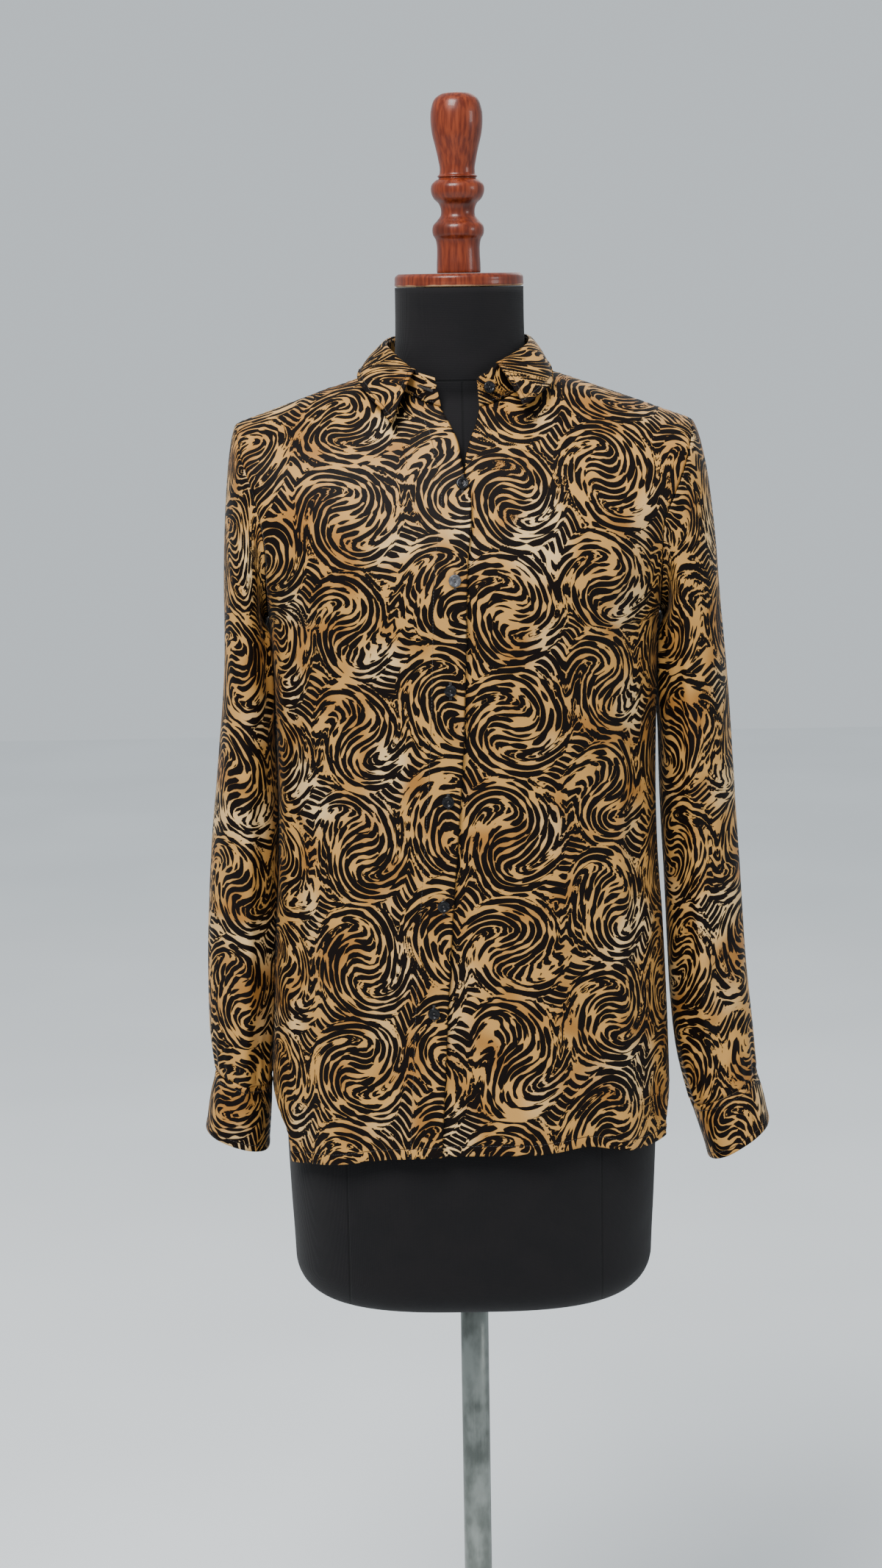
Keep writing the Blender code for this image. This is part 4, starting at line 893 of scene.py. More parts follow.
def printed_satin():
    """Tapered strokes: ink where |f + skew| < width * body^taper, f being the distance from a count's middle.

    Body and skew are noises that change from stroke to stroke. Counts are doubled or halved where the flow is
    loose or tight, so that strokes keep their width. Cream is where two waves and a noise add up.
    """
    m = Finish("printed_satin", Sheen_Weight=0.03, Sheen_Roughness=0.35, Specular_IOR_Level=0.085)
    u, v = m.uv("cloth")
    phase, close = m.uv("flow")
    ink = None
    for level in STROKE_LEVELS:
        count = m.math("MULTIPLY", phase, 2.0 ** level)
        middle = m.math("ROUND", count)
        off = m.math("SUBTRACT", count, middle)
        near = m.math("ABSOLUTE", m.math("ADD", close, float(level)))
        window = m.math("DIVIDE", m.math("SUBTRACT", LEVEL_REACH, near), LEVEL_FADE, clamp=True)
        key = m.math("MULTIPLY", middle, NEXT_STROKE / 2.0 ** level)
        spots = [
            m.vector(m.math("MULTIPLY", u, scale), m.math("MULTIPLY", v, scale), m.math("ADD", key, shift))
            for scale, shift in ((1 / STROKE_LENGTH, BODY_SHIFT), (SKEW_SCALE, SKEW_SHIFT))]
        body, skew = (m.noise(spot, contrast=NOISE_CONTRAST) for spot in spots)
        off = m.math("ABSOLUTE", m.math("ADD", off, m.math("MULTIPLY", skew, STROKE_SKEW)))
        body = m.math("ADD", body, 0.5)
        body = m.math("MULTIPLY", body, m.math("MULTIPLY_ADD", window, LEVEL_SHARE, 1 - LEVEL_SHARE))
        body = m.math("DIVIDE", m.math("SUBTRACT", body, STROKE_CUT), STROKE_RAMP, clamp=True)
        body = m.math("POWER", body, STROKE_TAPER)
        half = m.math("MULTIPLY", body, m.math("MULTIPLY", window, STROKE_WIDTH))
        drawn = m.math("MINIMUM", m.math("SUBTRACT", half, off), m.math("SUBTRACT", half, STROKE_LEAST))
        ink = drawn if ink is None else m.math("MAXIMUM", ink, drawn)
    mask = m.spread(ink, -STROKE_EDGE, STROKE_EDGE)
    cast, deep = (
        m.noise(m.vector(u, v, layer), 1 / length, contrast=NOISE_CONTRAST)
        for layer, length in (TONES["cast"], TONES["deep"]))
    column = m.math("MULTIPLY", u, 2 * math.pi / SWIRL_ACROSS)
    slant = m.math("MULTIPLY", u, SWIRL_STEP / SWIRL_ACROSS)
    row = m.math("MULTIPLY", m.math("SUBTRACT", m.math("DIVIDE", v, SWIRL_ALONG), slant), 2 * math.pi)
    waves = m.math("ADD", m.math("COSINE", m.math("SUBTRACT", column, PALE_ACROSS)),
                   m.math("COSINE", m.math("SUBTRACT", row, PALE_ALONG)))
    pale = m.math("ADD", m.math("MULTIPLY", waves, PALE_WAVES), cast)
    ground = m.blend(m.spread(deep, *DEEP_SPREAD), GOLD, GOLD_DEEP)
    ground = m.blend(m.spread(pale, *PALE_SPREAD), ground, CREAM)
    # Painted shade: the colour is darkened along stitch lines as the grooves' shade and along edges as
    # shadow; the groove also sinks the bump.
    first, second = m.uv("seams")
    lines = m.math("MINIMUM", m.math("ABSOLUTE", first), m.math("ABSOLUTE", second))
    groove = m.spread(lines, GROOVE_INSIDE, GROOVE_OUTSIDE, 1.0, 0.0)
    cloth = m.blend(mask, ground, INK)
    m.rough(m.spread(mask, 0.0, 1.0, SATIN_ROUGHNESS, INK_ROUGHNESS))
    m.colour(m.blend(m.math("MULTIPLY", groove, PAINTED_LINE_SHADE), cloth, INK))
    weave = m.noise(m.vector(m.math("MULTIPLY", u, WEAVE[0]), m.math("MULTIPLY", v, WEAVE[1]), 0.0))
    height = m.math("SUBTRACT", m.math("MULTIPLY", weave, WEAVE_SHARE), groove)
    m.bump(height, 0.0004, 0.6)
    return m.material


# The jersey's colours, the pitch of its knit and the places of its cover's seams.
JERSEY_DARK = (0.0036, 0.0032, 0.0038)
JERSEY_LIGHT = (0.0062, 0.0054, 0.0060)
JERSEY_SEAM = (0.0004, 0.0004, 0.0004)
WALE_PITCH = 0.0011
COURSE_PITCH = 0.0009
NECK_SEAM_HEIGHT = 1.4190
FRONT_SEAM_ACROSS = 0.0010
SIDE_FRONT_SEAM_APART = 0.1110
SIDE_FRONT_SEAM_TOP = 0.80
FRONT_SEAM_FOOT = 1.00
JERSEY_SEAM_INSIDE = 0.0004
JERSEY_SEAM_OUTSIDE = 0.0014
JERSEY_SEAM_DEPTH = 9.0


def black_jersey():
    """Knitted wales and courses as two sines, a little lint, and the cover's seams as dark grooves.

    The seams are a ring round the neck, a line down the chest and one low on each side of the front.
    """
    m = Finish("black_jersey", Sheen_Weight=0.05, Sheen_Roughness=0.5, Specular_IOR_Level=0.15)
    x, y, z = m.split(m.place())
    wales = m.math("SINE", m.math("MULTIPLY", m.math("ADD", x, y), 2 * math.pi / WALE_PITCH))
    courses = m.math("SINE", m.math("MULTIPLY", z, 2 * math.pi / COURSE_PITCH))
    soft = m.noise(m.place(), 35.0, 2.0)
    above = m.math("SUBTRACT", z, NECK_SEAM_HEIGHT)
    aside = m.math("ABSOLUTE", m.math("SUBTRACT", x, FRONT_SEAM_ACROSS))
    middle = m.math("MAXIMUM", m.math("MAXIMUM", aside, above), y)
    middle = m.math("MAXIMUM", middle, m.math("SUBTRACT", FRONT_SEAM_FOOT, z))
    beside = m.math("ABSOLUTE", m.math("SUBTRACT", aside, SIDE_FRONT_SEAM_APART))
    beside = m.math("MAXIMUM", m.math("MAXIMUM", beside, m.math("SUBTRACT", z, SIDE_FRONT_SEAM_TOP)), y)
    lines = m.math("MINIMUM", m.math("ABSOLUTE", above), m.math("MINIMUM", middle, beside))
    groove = m.spread(lines, JERSEY_SEAM_INSIDE, JERSEY_SEAM_OUTSIDE, 1.0, 0.0)
    cover = m.blend(m.spread(soft, -0.2, 0.2), JERSEY_DARK, JERSEY_LIGHT)
    m.colour(m.blend(m.math("MULTIPLY", groove, 0.6), cover, JERSEY_SEAM))
    m.rough(m.spread(soft, -0.3, 0.3, 0.78, 0.92))
    knit = m.math("ADD", wales, courses)
    m.bump(m.math("SUBTRACT", knit, m.math("MULTIPLY", groove, JERSEY_SEAM_DEPTH)), 0.00008, 0.6)
    return m.material


WOOD = {
    "dark": (0.080, 0.010, 0.003), "light": (0.170, 0.028, 0.007), "cloud": (0.038, 0.005, 0.0015),
    "worn": (0.520, 0.330, 0.170),
}
# Heights between which the neck plate's lower rim is rubbed bare.
WORN_RIM = (1.4995, 1.4980)


def lacquered_wood():
    """Long grain drawn out along the turning axis under a clear coat, with a worn lower rim."""
    m = Finish("lacquered_wood", Coat_Weight=0.15, Coat_Roughness=0.06, Specular_IOR_Level=0.25)
    grain = m.noise(m.place((1, 1, 0.10)), 420.0, 3.0, NOISE_CONTRAST)
    cloud = m.noise(m.place((1, 1, 0.45)), 45.0, 2.0, NOISE_CONTRAST)
    base = m.blend(m.spread(grain, -0.35, 0.35), WOOD["dark"], WOOD["light"])
    base = m.blend(m.spread(cloud, 0.0, 0.5), base, WOOD["cloud"])
    height = m.split(m.place())[2]
    rim = m.spread(m.math("ADD", height, m.math("MULTIPLY", cloud, 0.003)), *WORN_RIM)
    m.colour(m.blend(m.math("MULTIPLY", rim, 0.75), base, WOOD["worn"]))
    m.rough(m.spread(grain, -0.4, 0.4, 0.30, 0.42))
    m.bump(grain, 0.00006, 0.4)
    return m.material


def tube_steel():
    """Drawn tube: fine lines along it and a slight mottle."""
    m = Finish("tube_steel", Metallic=1.0)
    lines = m.noise(m.place((1, 1, 0.02)), 900.0, 2.0, NOISE_CONTRAST)
    mottle = m.noise(m.place((1, 1, 0.5)), 60.0, 3.0, NOISE_CONTRAST)
    m.colour(m.blend(m.spread(mottle, -0.3, 0.3), (0.13, 0.142, 0.13), (0.27, 0.29, 0.27)))
    m.rough(m.spread(m.math("ADD", lines, mottle), -0.5, 0.5, 0.26, 0.42))
    m.bump(lines, 0.00002, 0.5)
    return m.material


def base_paint():
    """Black powder coat with a fine peel and lighter worn patches."""
    m = Finish("base_paint")
    peel = m.noise(m.place(), 700.0, 1.0)
    worn = m.noise(m.place(), 25.0, 3.0, NOISE_CONTRAST)
    m.colour(m.blend(m.spread(worn, 0.1, 0.5), (0.018, 0.018, 0.020), (0.035, 0.034, 0.034)))
    m.rough(m.spread(worn, -0.4, 0.4, 0.42, 0.58))
    m.bump(peel, 0.00008, 0.5)
    return m.material


def button_plastic(name, dark, light):
    """Polished resin with a faint cloud."""
    m = Finish(name, Roughness=0.16, Specular_IOR_Level=0.18)
    cloud = m.noise(m.place(), 380.0, 2.0, NOISE_CONTRAST)
    m.colour(m.blend(m.spread(cloud, -0.1, 0.5), dark, light))
    m.bump(cloud, 0.00003, 0.3)
    return m.material


def dark_thread():
    """Twisted sewing thread."""
    m = Finish("dark_thread", Roughness=0.65, Sheen_Weight=0.3)
    ply = m.noise(m.place(), 2600.0, 1.0, NOISE_CONTRAST)
    m.colour(m.blend(m.spread(ply, -0.3, 0.3), (0.010, 0.008, 0.007), (0.040, 0.030, 0.022)))
    m.bump(ply, 0.00004, 0.6)
    return m.material


def pale_floor():
    """Plain pale floor with a faint change of tone."""
    m = Finish("pale_floor")
    cloud = m.noise(m.place(), 1.5, 2.0)
    m.colour(m.blend(m.spread(cloud, -0.3, 0.3), (0.80, 0.82, 0.83), (0.86, 0.88, 0.89)))
    m.rough(m.spread(cloud, -0.3, 0.3, 0.62, 0.72))
    return m.material


satin = printed_satin()
jersey = black_jersey()
wood = lacquered_wood()
steel = tube_steel()
paint = base_paint()
black_resin = button_plastic("black_resin", (0.0035, 0.0035, 0.0042), (0.020, 0.020, 0.024))
grey_resin = button_plastic("grey_resin", (0.060, 0.060, 0.065), (0.140, 0.140, 0.150))
thread = dark_thread()


def line_inside(grid, normal, distance, edge):
    """Points and normals on a grid at a distance from one of its edges."""
    if edge in ("first_row", "last_row"):
        grid, normal = grid.swapaxes(0, 1), normal.swapaxes(0, 1)
    if edge in ("last_row", "last_column"):
        grid, normal = grid[:, ::-1], normal[:, ::-1]
    run = run_along(grid, 1)
    j = np.maximum(np.argmax(run >= distance, axis=1), 1)
    i = np.arange(len(run))
    t = ((distance - run[i, j - 1]) / (run[i, j] - run[i, j - 1]))[:, None]
    return grid[i, j - 1] * (1 - t) + grid[i, j] * t, normal[i, j - 1] * (1 - t) + normal[i, j] * t


STITCH_PITCH = 0.0026
STITCH_LENGTH = 0.0019
STITCH_RADIUS = 0.00016
STITCH_SIDES = 6
# A rod's rings: place along it, its half width there and its rise, as shares of its length and radius.
ROD = ((-0.5, 0.0, -0.3), (-0.42, 0.7, 0.0), (0.0, 1.0, 0.5), (0.42, 0.7, 0.0), (0.5, 0.0, -0.3))
rods = []


def line_points(values, run, place):
    """Three-part values along a line, read off at places of its run."""
    return np.stack([np.interp(place, run, values[:, k]) for k in range(3)], axis=-1)


def lay_stitches(points, normal, pitch=STITCH_PITCH, length=STITCH_LENGTH, radius=STITCH_RADIUS,
                 turned_across=False):
    """Small rods along a line: the template's x, y and z laid on tangent, binormal and normal."""
    run = run_along(points[None], 1)[0]
    place = np.arange(pitch / 2, run[-1], pitch)
    centre = line_points(points, run, place)
    up = line_points(normal, run, place)
    tangent = line_points(points, run, place + pitch / 4) - line_points(points, run, place - pitch / 4)
    tangent /= np.linalg.norm(tangent, axis=-1, keepdims=True)
    up -= tangent * np.sum(up * tangent, axis=-1, keepdims=True)
    up /= np.linalg.norm(up, axis=-1, keepdims=True)
    aside = np.cross(up, tangent)
    if turned_across:
        tangent, aside = aside, -tangent
    angle = np.arange(STITCH_SIDES) * 2 * math.pi / STITCH_SIDES
    template = []
    for along, wide, rise in ROD:
        if wide:
            ring = np.stack([angle * 0 + along * length, wide * radius * np.cos(angle),
                             rise * radius + wide * radius * np.sin(angle)], axis=-1)
        else:
            ring = np.array([[along * length, 0, rise * radius]])
        template.append(ring)
    template = np.concatenate(template)[None]
    rods.append(centre[:, None] + tangent[:, None] * template[..., :1] + aside[:, None] * template[..., 1:2]
                + up[:, None] * template[..., 2:])


def sew(name):
    """All the rods laid so far as one piece."""
    world = np.concatenate(rods)
    rods.clear()
    s = STITCH_SIDES
    size = world.shape[1]
    faces = []
    for k in range(s):
        n = (k + 1) % s
        faces.append((0, 1 + n, 1 + k))
        for ring in range(2):
            a = 1 + ring * s
            faces.append((a + k, a + n, a + s + n))
            faces.append((a + k, a + s + n, a + s + k))
        a = 1 + 2 * s
        faces.append((a + k, a + n, size - 1))
    faces = (np.arange(len(world))[:, None, None] * size + np.array(faces)[None]).reshape(-1, 3)
    return new_object(name, world.reshape(-1, 3), faces.tolist(), thread)


# The torso's cloth. Its print runs round the body by an arc of the plan, 1 from its middle to its side and
# 0.75 deep, and less so above the underarms.
ARC_POINTS = 400
ARC_DEPTH = 0.75
ARC_FADE = 0.7
ARC_FADE_TOP = 1.30
arc_share = np.linspace(0, 1, ARC_POINTS)
arc_line = np.stack([arc_share, ARC_DEPTH * (1 - arc_share ** PLAN_POWER) ** (1 / PLAN_POWER)], axis=-1)
arc_length = run_along(arc_line[None], 1)[0]


def torso_uv(grid, shift):
    """Across: arc length of the plan from the centre. Along: height, then the arc over the crown."""
    x, z = grid[..., 0], grid[..., 2]
    half = curve(TORSO, "half_width", z)
    q = np.clip(np.abs(x) / half, 0, 1)
    fade = 1 - ARC_FADE * ease(z, UNDERARM_HEIGHT, ARC_FADE_TOP)
    extra = half * (np.interp(q, arc_share, arc_length) - q) * fade
    run = run_along(grid, 0)
    v = np.where(z < UNDERARM_HEIGHT, z, UNDERARM_HEIGHT + run - run[LOWER_ROWS])
    return np.sign(x) * (np.abs(x) + extra) + shift[0], v + shift[1]


def edge_runs(grid):
    """Distances from the inner edge, the outer edge, the hem and the top."""
    across, along = run_along(grid, 1), run_along(grid, 0)
    return across, across[:, -1:] - across, along, along[-1:] - along


HEM_HEIGHT = 0.009
HEM_RISE = 0.0004
STITCH_SINK = 0.00035
STITCH_SINK_REACH = 0.0009
TURN_INSIDE = 0.0006
TURN_OUTSIDE = 0.0012
PLACKET_WIDTH = 0.028
PLACKET_RISE = 0.0004
PLACKET_BUCKLE = 0.0011
PLACKET_BUCKLE_REACH = 0.011


def stitched(distance, line, rise):
    """A turned edge: raised from its fold to the stitch line, with a groove along the line."""
    groove = STITCH_SINK * np.exp(-((distance - line) / STITCH_SINK_REACH) ** 2)
    return rise * (1 - ease(distance, line - TURN_INSIDE, line + TURN_OUTSIDE)) - groove


def front_relief(grid, lapping):
    """Wrinkles, slow unevenness, sunk seams, hem and placket of a front."""
    x, z = grid[..., 0], grid[..., 2]
    inner, outer, up, down = edge_runs(grid)
    rise = (wrinkle_rise(FRONT_WRINKLES, x, z) + unevenness(x, z, SEEDS["fronts"])) * stillness(x, z)
    rise *= 1 - np.exp(-(inner / EDGE_CALM) ** 2)
    rise += seam_sink(outer, up)
    past_neck = np.arange(grid.shape[1]) >= CENTRE_COLUMNS
    rise += seam_sink(down, inner) * past_neck
    rise += stitched(up, HEM_HEIGHT, HEM_RISE)
    if lapping:
        rise += stitched(inner, PLACKET_WIDTH, PLACKET_RISE)
        heights = np.array(FRONT_BUTTONS["height"])[::-1]
        count = np.interp(z, heights, np.arange(len(heights)))
        bow = np.sin(math.pi * count) ** 2 * (z > heights[0]) * (z < heights[-1])
        rise += PLACKET_BUCKLE * bow * np.exp(-inner / PLACKET_BUCKLE_REACH)
    return rise


def back_relief(grid):
    """Wrinkles, slow unevenness, sunk side and shoulder seams and the hem of the back."""
    x, z = grid[..., 0], grid[..., 2]
    first, last, up, down = edge_runs(grid)
    rise = (wrinkle_rise(BACK_WRINKLES, x, z) + unevenness(x, z, SEEDS["back"])) * stillness(x, z)
    rise += seam_sink(first, up) + seam_sink(last, up)
    rise += seam_sink(down, first) * (np.abs(x) > NECK_POINT)
    return rise + stitched(up, HEM_HEIGHT, HEM_RISE)


def raised(grid, rise, outward, closed=False):
    """The grid moved along its normals by the rise."""
    return grid + normals(grid, closed) * outward * rise[..., None]


front_right_grid = half_panel(-1, True, LAPPING_EDGE)
front_left_grid = half_panel(1, True, LAPPED_EDGE)
back_left_view = half_panel(-1, False, None)
back_right_view = half_panel(1, False, None)
back_grid = np.concatenate([back_left_view[:, ::-1], back_right_view[:, 1:]], axis=1)
front_right_cloth = raised(front_right_grid, front_relief(front_right_grid, True), -1)
front_left_cloth = raised(front_left_grid, front_relief(front_left_grid, False), 1)
back_cloth = raised(back_grid, back_relief(back_grid), -1)
inner_run = edge_runs(front_right_grid)[0]
# Distances from the placket's stitch line and from its edge, where the print is darkened as painted shadow.
placket_stitch_and_shadow_lines = np.minimum(np.abs(inner_run - PLACKET_WIDTH), inner_run * EDGE_SHADOW_LINE)
front_right, front_left, back = (
    cloth_wall(name + "_cloth", cloth, *torso_uv(grid, PRINT_CUT[name]), outward, False, satin,
               lines=(edge_runs(grid)[2] - HEM_HEIGHT, second_line))
    for name, cloth, grid, outward, second_line in (
        ("front_right", front_right_cloth, front_right_grid, -1, placket_stitch_and_shadow_lines),
        ("front_left", front_left_cloth, front_left_grid, 1, NO_LINE),
        ("back", back_cloth, back_grid, -1, NO_LINE)))

for panel, cloth, outward in (("front_left", front_left_cloth, 1), ("back", back_cloth, -1),
                              ("front_right", front_right_cloth, -1)):
    lay_stitches(*line_inside(cloth, normals(cloth, False) * outward, HEM_HEIGHT, "first_row"))
    if panel == "front_right":
        lay_stitches(*line_inside(cloth, -normals(cloth, False), PLACKET_WIDTH, "first_column"))
    sew(panel + "_stitching")


def settled_across(height, depth, label):
    """Half width of the torso at a height and depth, never past the armhole's edge."""
    reach = np.where(depth < 0, curve(TORSO, "front_depth", height), curve(TORSO, "back_depth", height))
    q = np.clip(np.abs(depth) / reach, 0, 1)
    side = curve(TORSO, "half_width", height) * np.clip(1 - q ** PLAN_POWER, 0, 1) ** (1 / PLAN_POWER)
    arm = np.minimum(side, curve(ARMHOLE, label, height))
    return np.where(height > UNDERARM_HEIGHT, arm, side)


def section_points(table, height, angle, side):
    """Superellipse sections: x = middle + half * cos^(2/p), y = middle - half * sin^(2/p), tilted."""
    outer, inner, front, back_edge, tilt = (
        curve(table, name, -height)[:, None] for name in ("outer", "inner", "front", "back", "tilt"))
    c, s = np.cos(angle), np.sin(angle)
    c = np.sign(c) * np.abs(c) ** (2 / SLEEVE_POWER)
    s = np.sign(s) * np.abs(s) ** (2 / SLEEVE_POWER)
    x = (outer + inner) / 2 + (outer - inner) / 2 * c
    y = (back_edge - front) / 2 - (back_edge + front) / 2 * s
    z = height[:, None] + tilt * (x - (outer + inner) / 2)
    return np.stack([side * x, y, z], axis=-1)


def lowered(table):
    """The table with its heights negated, so that they rise along it."""
    return dict(table, height=tuple(-h for h in table["height"]))


def crease_rise(table, angle, height):
    """Sum of rise * exp(-(angle away / width)^2) between each crease's top and bottom."""
    degrees = np.degrees(angle)
    total = np.zeros(np.broadcast(degrees, height).shape)
    names = ("place", "width", "rise", "top", "bottom")
    for place, width, rise, top, bottom in zip(*(table[name] for name in names)):
        away = (degrees - place + 180) % 360 - 180
        above = ease(-height, -top, -top + CREASE_BLEND)
        below = ease(height, bottom - CREASE_BLEND / 2, bottom)
        total = total + rise * above * below * np.exp(-(away / width) ** 2)
    return total


def even_loop(loop):
    """Evenly spaced points round a closed line, and their places as shares of its list."""
    ring = np.concatenate([loop, loop[:1]])
    run = run_along(ring[None], 1)[0]
    target = np.arange(LOOP_POINTS) * run[-1] / LOOP_POINTS
    return line_points(ring, run, target), np.interp(target, run, np.arange(len(ring)) / len(loop))


def sleeve_relief(grid, angle, height, seed):
    """Wrinkles, slow unevenness and the gathers above the cuff, sin(count * angle) fading upwards."""
    degrees = np.broadcast_to(np.degrees(angle), height.shape)
    stretch = math.radians(1) * SLEEVE_RADIUS
    rise = wrinkle_rise(SLEEVE_WRINKLES, degrees, height, stretch)
    around = np.radians(degrees) * SLEEVE_RADIUS
    join = (1 + np.cos(np.radians(degrees))) / 2
    rise += unevenness(around, height, seed) * join
    along = run_along(grid, 0)
    below = along[-1:] - along
    sway = GATHER_SWAY * line_noise(around / SWAY_RUN + GATHER_SHIFT, GATHER_ROW, seed)
    wave = np.sin(GATHERS * np.radians(degrees) + sway)
    rise += GATHER_RISE * wave * np.exp(-below / GATHER_LENGTH) * ease(below, 0.0, GATHER_CLEAR)
    rise += seam_sink(along, around)
    return rise - SEAM_SINK * np.exp(-(below / SEAM_REACH) ** 2)


def sleeve_grid(side, front_grid, back_grid, table, creases, seed):
    """Rows (1-t)^2 armhole + 2t(1-t) middle + t^2 section, then sections down to the cuff seam."""
    label = "left" if side < 0 else "right"
    front_edge = front_grid[LOWER_ROWS:, -1]
    back_edge = back_grid[LOWER_ROWS:, -1]
    loop = np.concatenate([
        (front_edge[-1:] + back_edge[-1:]) / 2, front_edge[-2:0:-1],
        (front_edge[:1] + back_edge[:1]) / 2, back_edge[1:-1]])
    loop = even_loop(loop + np.array([side * SEAM_GAP, 0, 0]))[0]
    falling = lowered(table)
    first_height, last_height = table["height"][0], table["height"][-1]
    fine = np.linspace(0, 2 * math.pi, SECTION_STEPS, endpoint=False)
    section = section_points(falling, np.array([first_height]), fine, side)[0]
    angle = even_loop(section)[1] * 2 * math.pi
    first = section_points(falling, np.array([first_height]), angle, side)[0]
    first = first + np.array([0, 0, UNDERARM_LIFT]) * np.cos(angle)[:, None]
    near = settled_across(first[:, 2], first[:, 1], label) + 2 * CLEARANCE
    first[:, 0] = side * np.maximum(side * first[:, 0], near)
    blended = loop[:, 0] + (first[:, 0] - loop[:, 0]) * SLEEVE_REACH
    reach = np.maximum(side * blended, side * loop[:, 0] + SLEEVE_START)
    middle = np.stack([
        side * reach, loop[:, 1] + (first[:, 1] - loop[:, 1]) * SLEEVE_DEPTH_BLEND,
        loop[:, 2] + (first[:, 2] - loop[:, 2]) * SLEEVE_FALL], axis=-1)
    t = (np.arange(FAN_ROWS + 1) / FAN_ROWS)[:, None, None]
    fan = (1 - t) ** 2 * loop + 2 * t * (1 - t) * middle + t * t * first
    share = np.linspace(0, 1, SLEEVE_ROWS + 1)[1:]
    height = first_height + (last_height - first_height) * share
    rows = section_points(falling, height, angle, side)
    rows[..., 2] += UNDERARM_LIFT * np.cos(angle) * (1 - ease(share, 0, LIFT_END))[:, None]
    grid = np.concatenate([fan, rows])
    turn = np.roll(angle, LOOP_POINTS // 2)
    grid = np.roll(grid, LOOP_POINTS // 2, axis=1)
    rise = sleeve_relief(grid, turn, grid[..., 2], seed) - crease_rise(creases, turn, grid[..., 2])
    grid = raised(grid, rise, side, True)
    limit = settled_across(grid[..., 2], grid[..., 1], label) + CLEARANCE
    beyond = side * grid[..., 0] - limit
    resting = ease(grid[..., 2], *REST_HEIGHTS[:2]) * (1 - ease(grid[..., 2], *REST_HEIGHTS[2:]))
    resting *= 1 - ease(beyond, REST_REACH / 2, REST_REACH)
    grid[..., 0] -= side * REST_SHARE * resting * np.maximum(beyond, 0)
    grid[1:, :, 0] = side * np.maximum(side * grid[1:, :, 0], limit[1:])
    return grid, turn


CUFF_BLEND = 0.35
CUFF_START = 0.002
CUFF_STITCH = 0.0055
CUFF_RISE = 0.0004


def cuff_grid(side, table, sleeve, angle):
    """Sections from the sleeve's last row down to the open lower edge."""
    height = np.linspace(table["height"][0], table["height"][-1], CUFF_ROWS + 1)
    grid = section_points(lowered(table), height, angle, side)
    start = sleeve[-1] - np.array([0, 0, CUFF_GAP])
    share = ease(np.linspace(0, 1, CUFF_ROWS + 1), 0, CUFF_BLEND)[:, None, None]
    grid = start + (grid - grid[0]) + (grid[0] - start) * share
    limit = settled_across(grid[..., 2], grid[..., 1], "left") + CLEARANCE
    grid[..., 0] = side * np.maximum(side * grid[..., 0], limit)
    return grid


def ring_of(grid):
    """A closed grid with its first column once more at its end."""
    return np.concatenate([grid, grid[:, :1]], axis=1)


def tube_uv(grid, shift):
    """Across: arc length round from the outermost line. Along: arc length up from the lower edge."""
    ring = ring_of(grid)
    around = run_along(ring, 1)
    along = run_along(ring, 0)
    return around - around[:, [LOOP_POINTS // 2]] + shift[0], along[-1:] - along + shift[1]


def arm(label, side, panels, table, creases, cuff_table):
    """A sleeve, its cuff and the cuff's stitches; the cuff's relief is its two stitched edges."""
    seed, shift = SEEDS["sleeve_" + label], PRINT_CUT["sleeve_" + label]
    sleeve, turn = sleeve_grid(side, *panels, table, creases, seed)
    cuff = cuff_grid(side, cuff_table, sleeve, turn)
    along = run_along(cuff, 0)
    below = along[-1:] - along
    rise = stitched(along, CUFF_STITCH, CUFF_RISE) + stitched(below, CUFF_STITCH, CUFF_RISE)
    rise += unevenness(np.degrees(turn) * math.radians(1) * SLEEVE_RADIUS, cuff[..., 2], seed + 2)
    cuff = raised(cuff, rise * ease(along, 0, CUFF_START), side, True)
    sleeve_wall = cloth_wall(
        f"sleeve_{label}_cloth", sleeve, *tube_uv(sleeve, shift), side, True, satin, upright_rim=True)
    cuff_wall = cloth_wall(
        f"cuff_{label}_cloth", cuff, *tube_uv(cuff, (shift[0] + CUFF_CUT[0], shift[1] - CUFF_CUT[1])),
        side, True, satin, lines=[ring_of(d) - CUFF_STITCH for d in (along, below)])
    way_out = ring_of(normals(cuff, True) * side)
    for edge in ("first_row", "last_row"):
        lay_stitches(*line_inside(ring_of(cuff), way_out, CUFF_STITCH, edge))
    return sleeve_wall, cuff_wall, sew(f"cuff_{label}_stitching")


sleeve_right, cuff_right, cuff_right_stitching = arm(
    "right", -1, (front_right_grid, back_left_view), SLEEVE_LEFT_VIEW, CREASES_LEFT_VIEW, CUFF_LEFT_VIEW)
sleeve_left, cuff_left, cuff_left_stitching = arm(
    "left", 1, (front_left_grid, back_right_view), SLEEVE_RIGHT_VIEW, CREASES_RIGHT_VIEW, CUFF_RIGHT_VIEW)


def resample(points, others, count):
    """Evenly spaced points along a line, with a second list carried along."""
    run = run_along(points[None], 1)[0]
    target = np.linspace(0, run[-1], count)
    return line_points(points, run, target), line_points(others, run, target)


def unit(vectors):
    """Each vector over its length."""
    return vectors / np.linalg.norm(vectors, axis=-1, keepdims=True)


def neck_edge(grid):
    """The neckline of a panel from its centre to the shoulder, and the way across it."""
    edge = grid[-1, :CENTRE_COLUMNS + 1]
    across = edge - grid[-2, :CENTRE_COLUMNS + 1]
    along = unit(np.gradient(edge, axis=0))
    return edge, unit(across - along * np.sum(across * along, axis=1, keepdims=True))


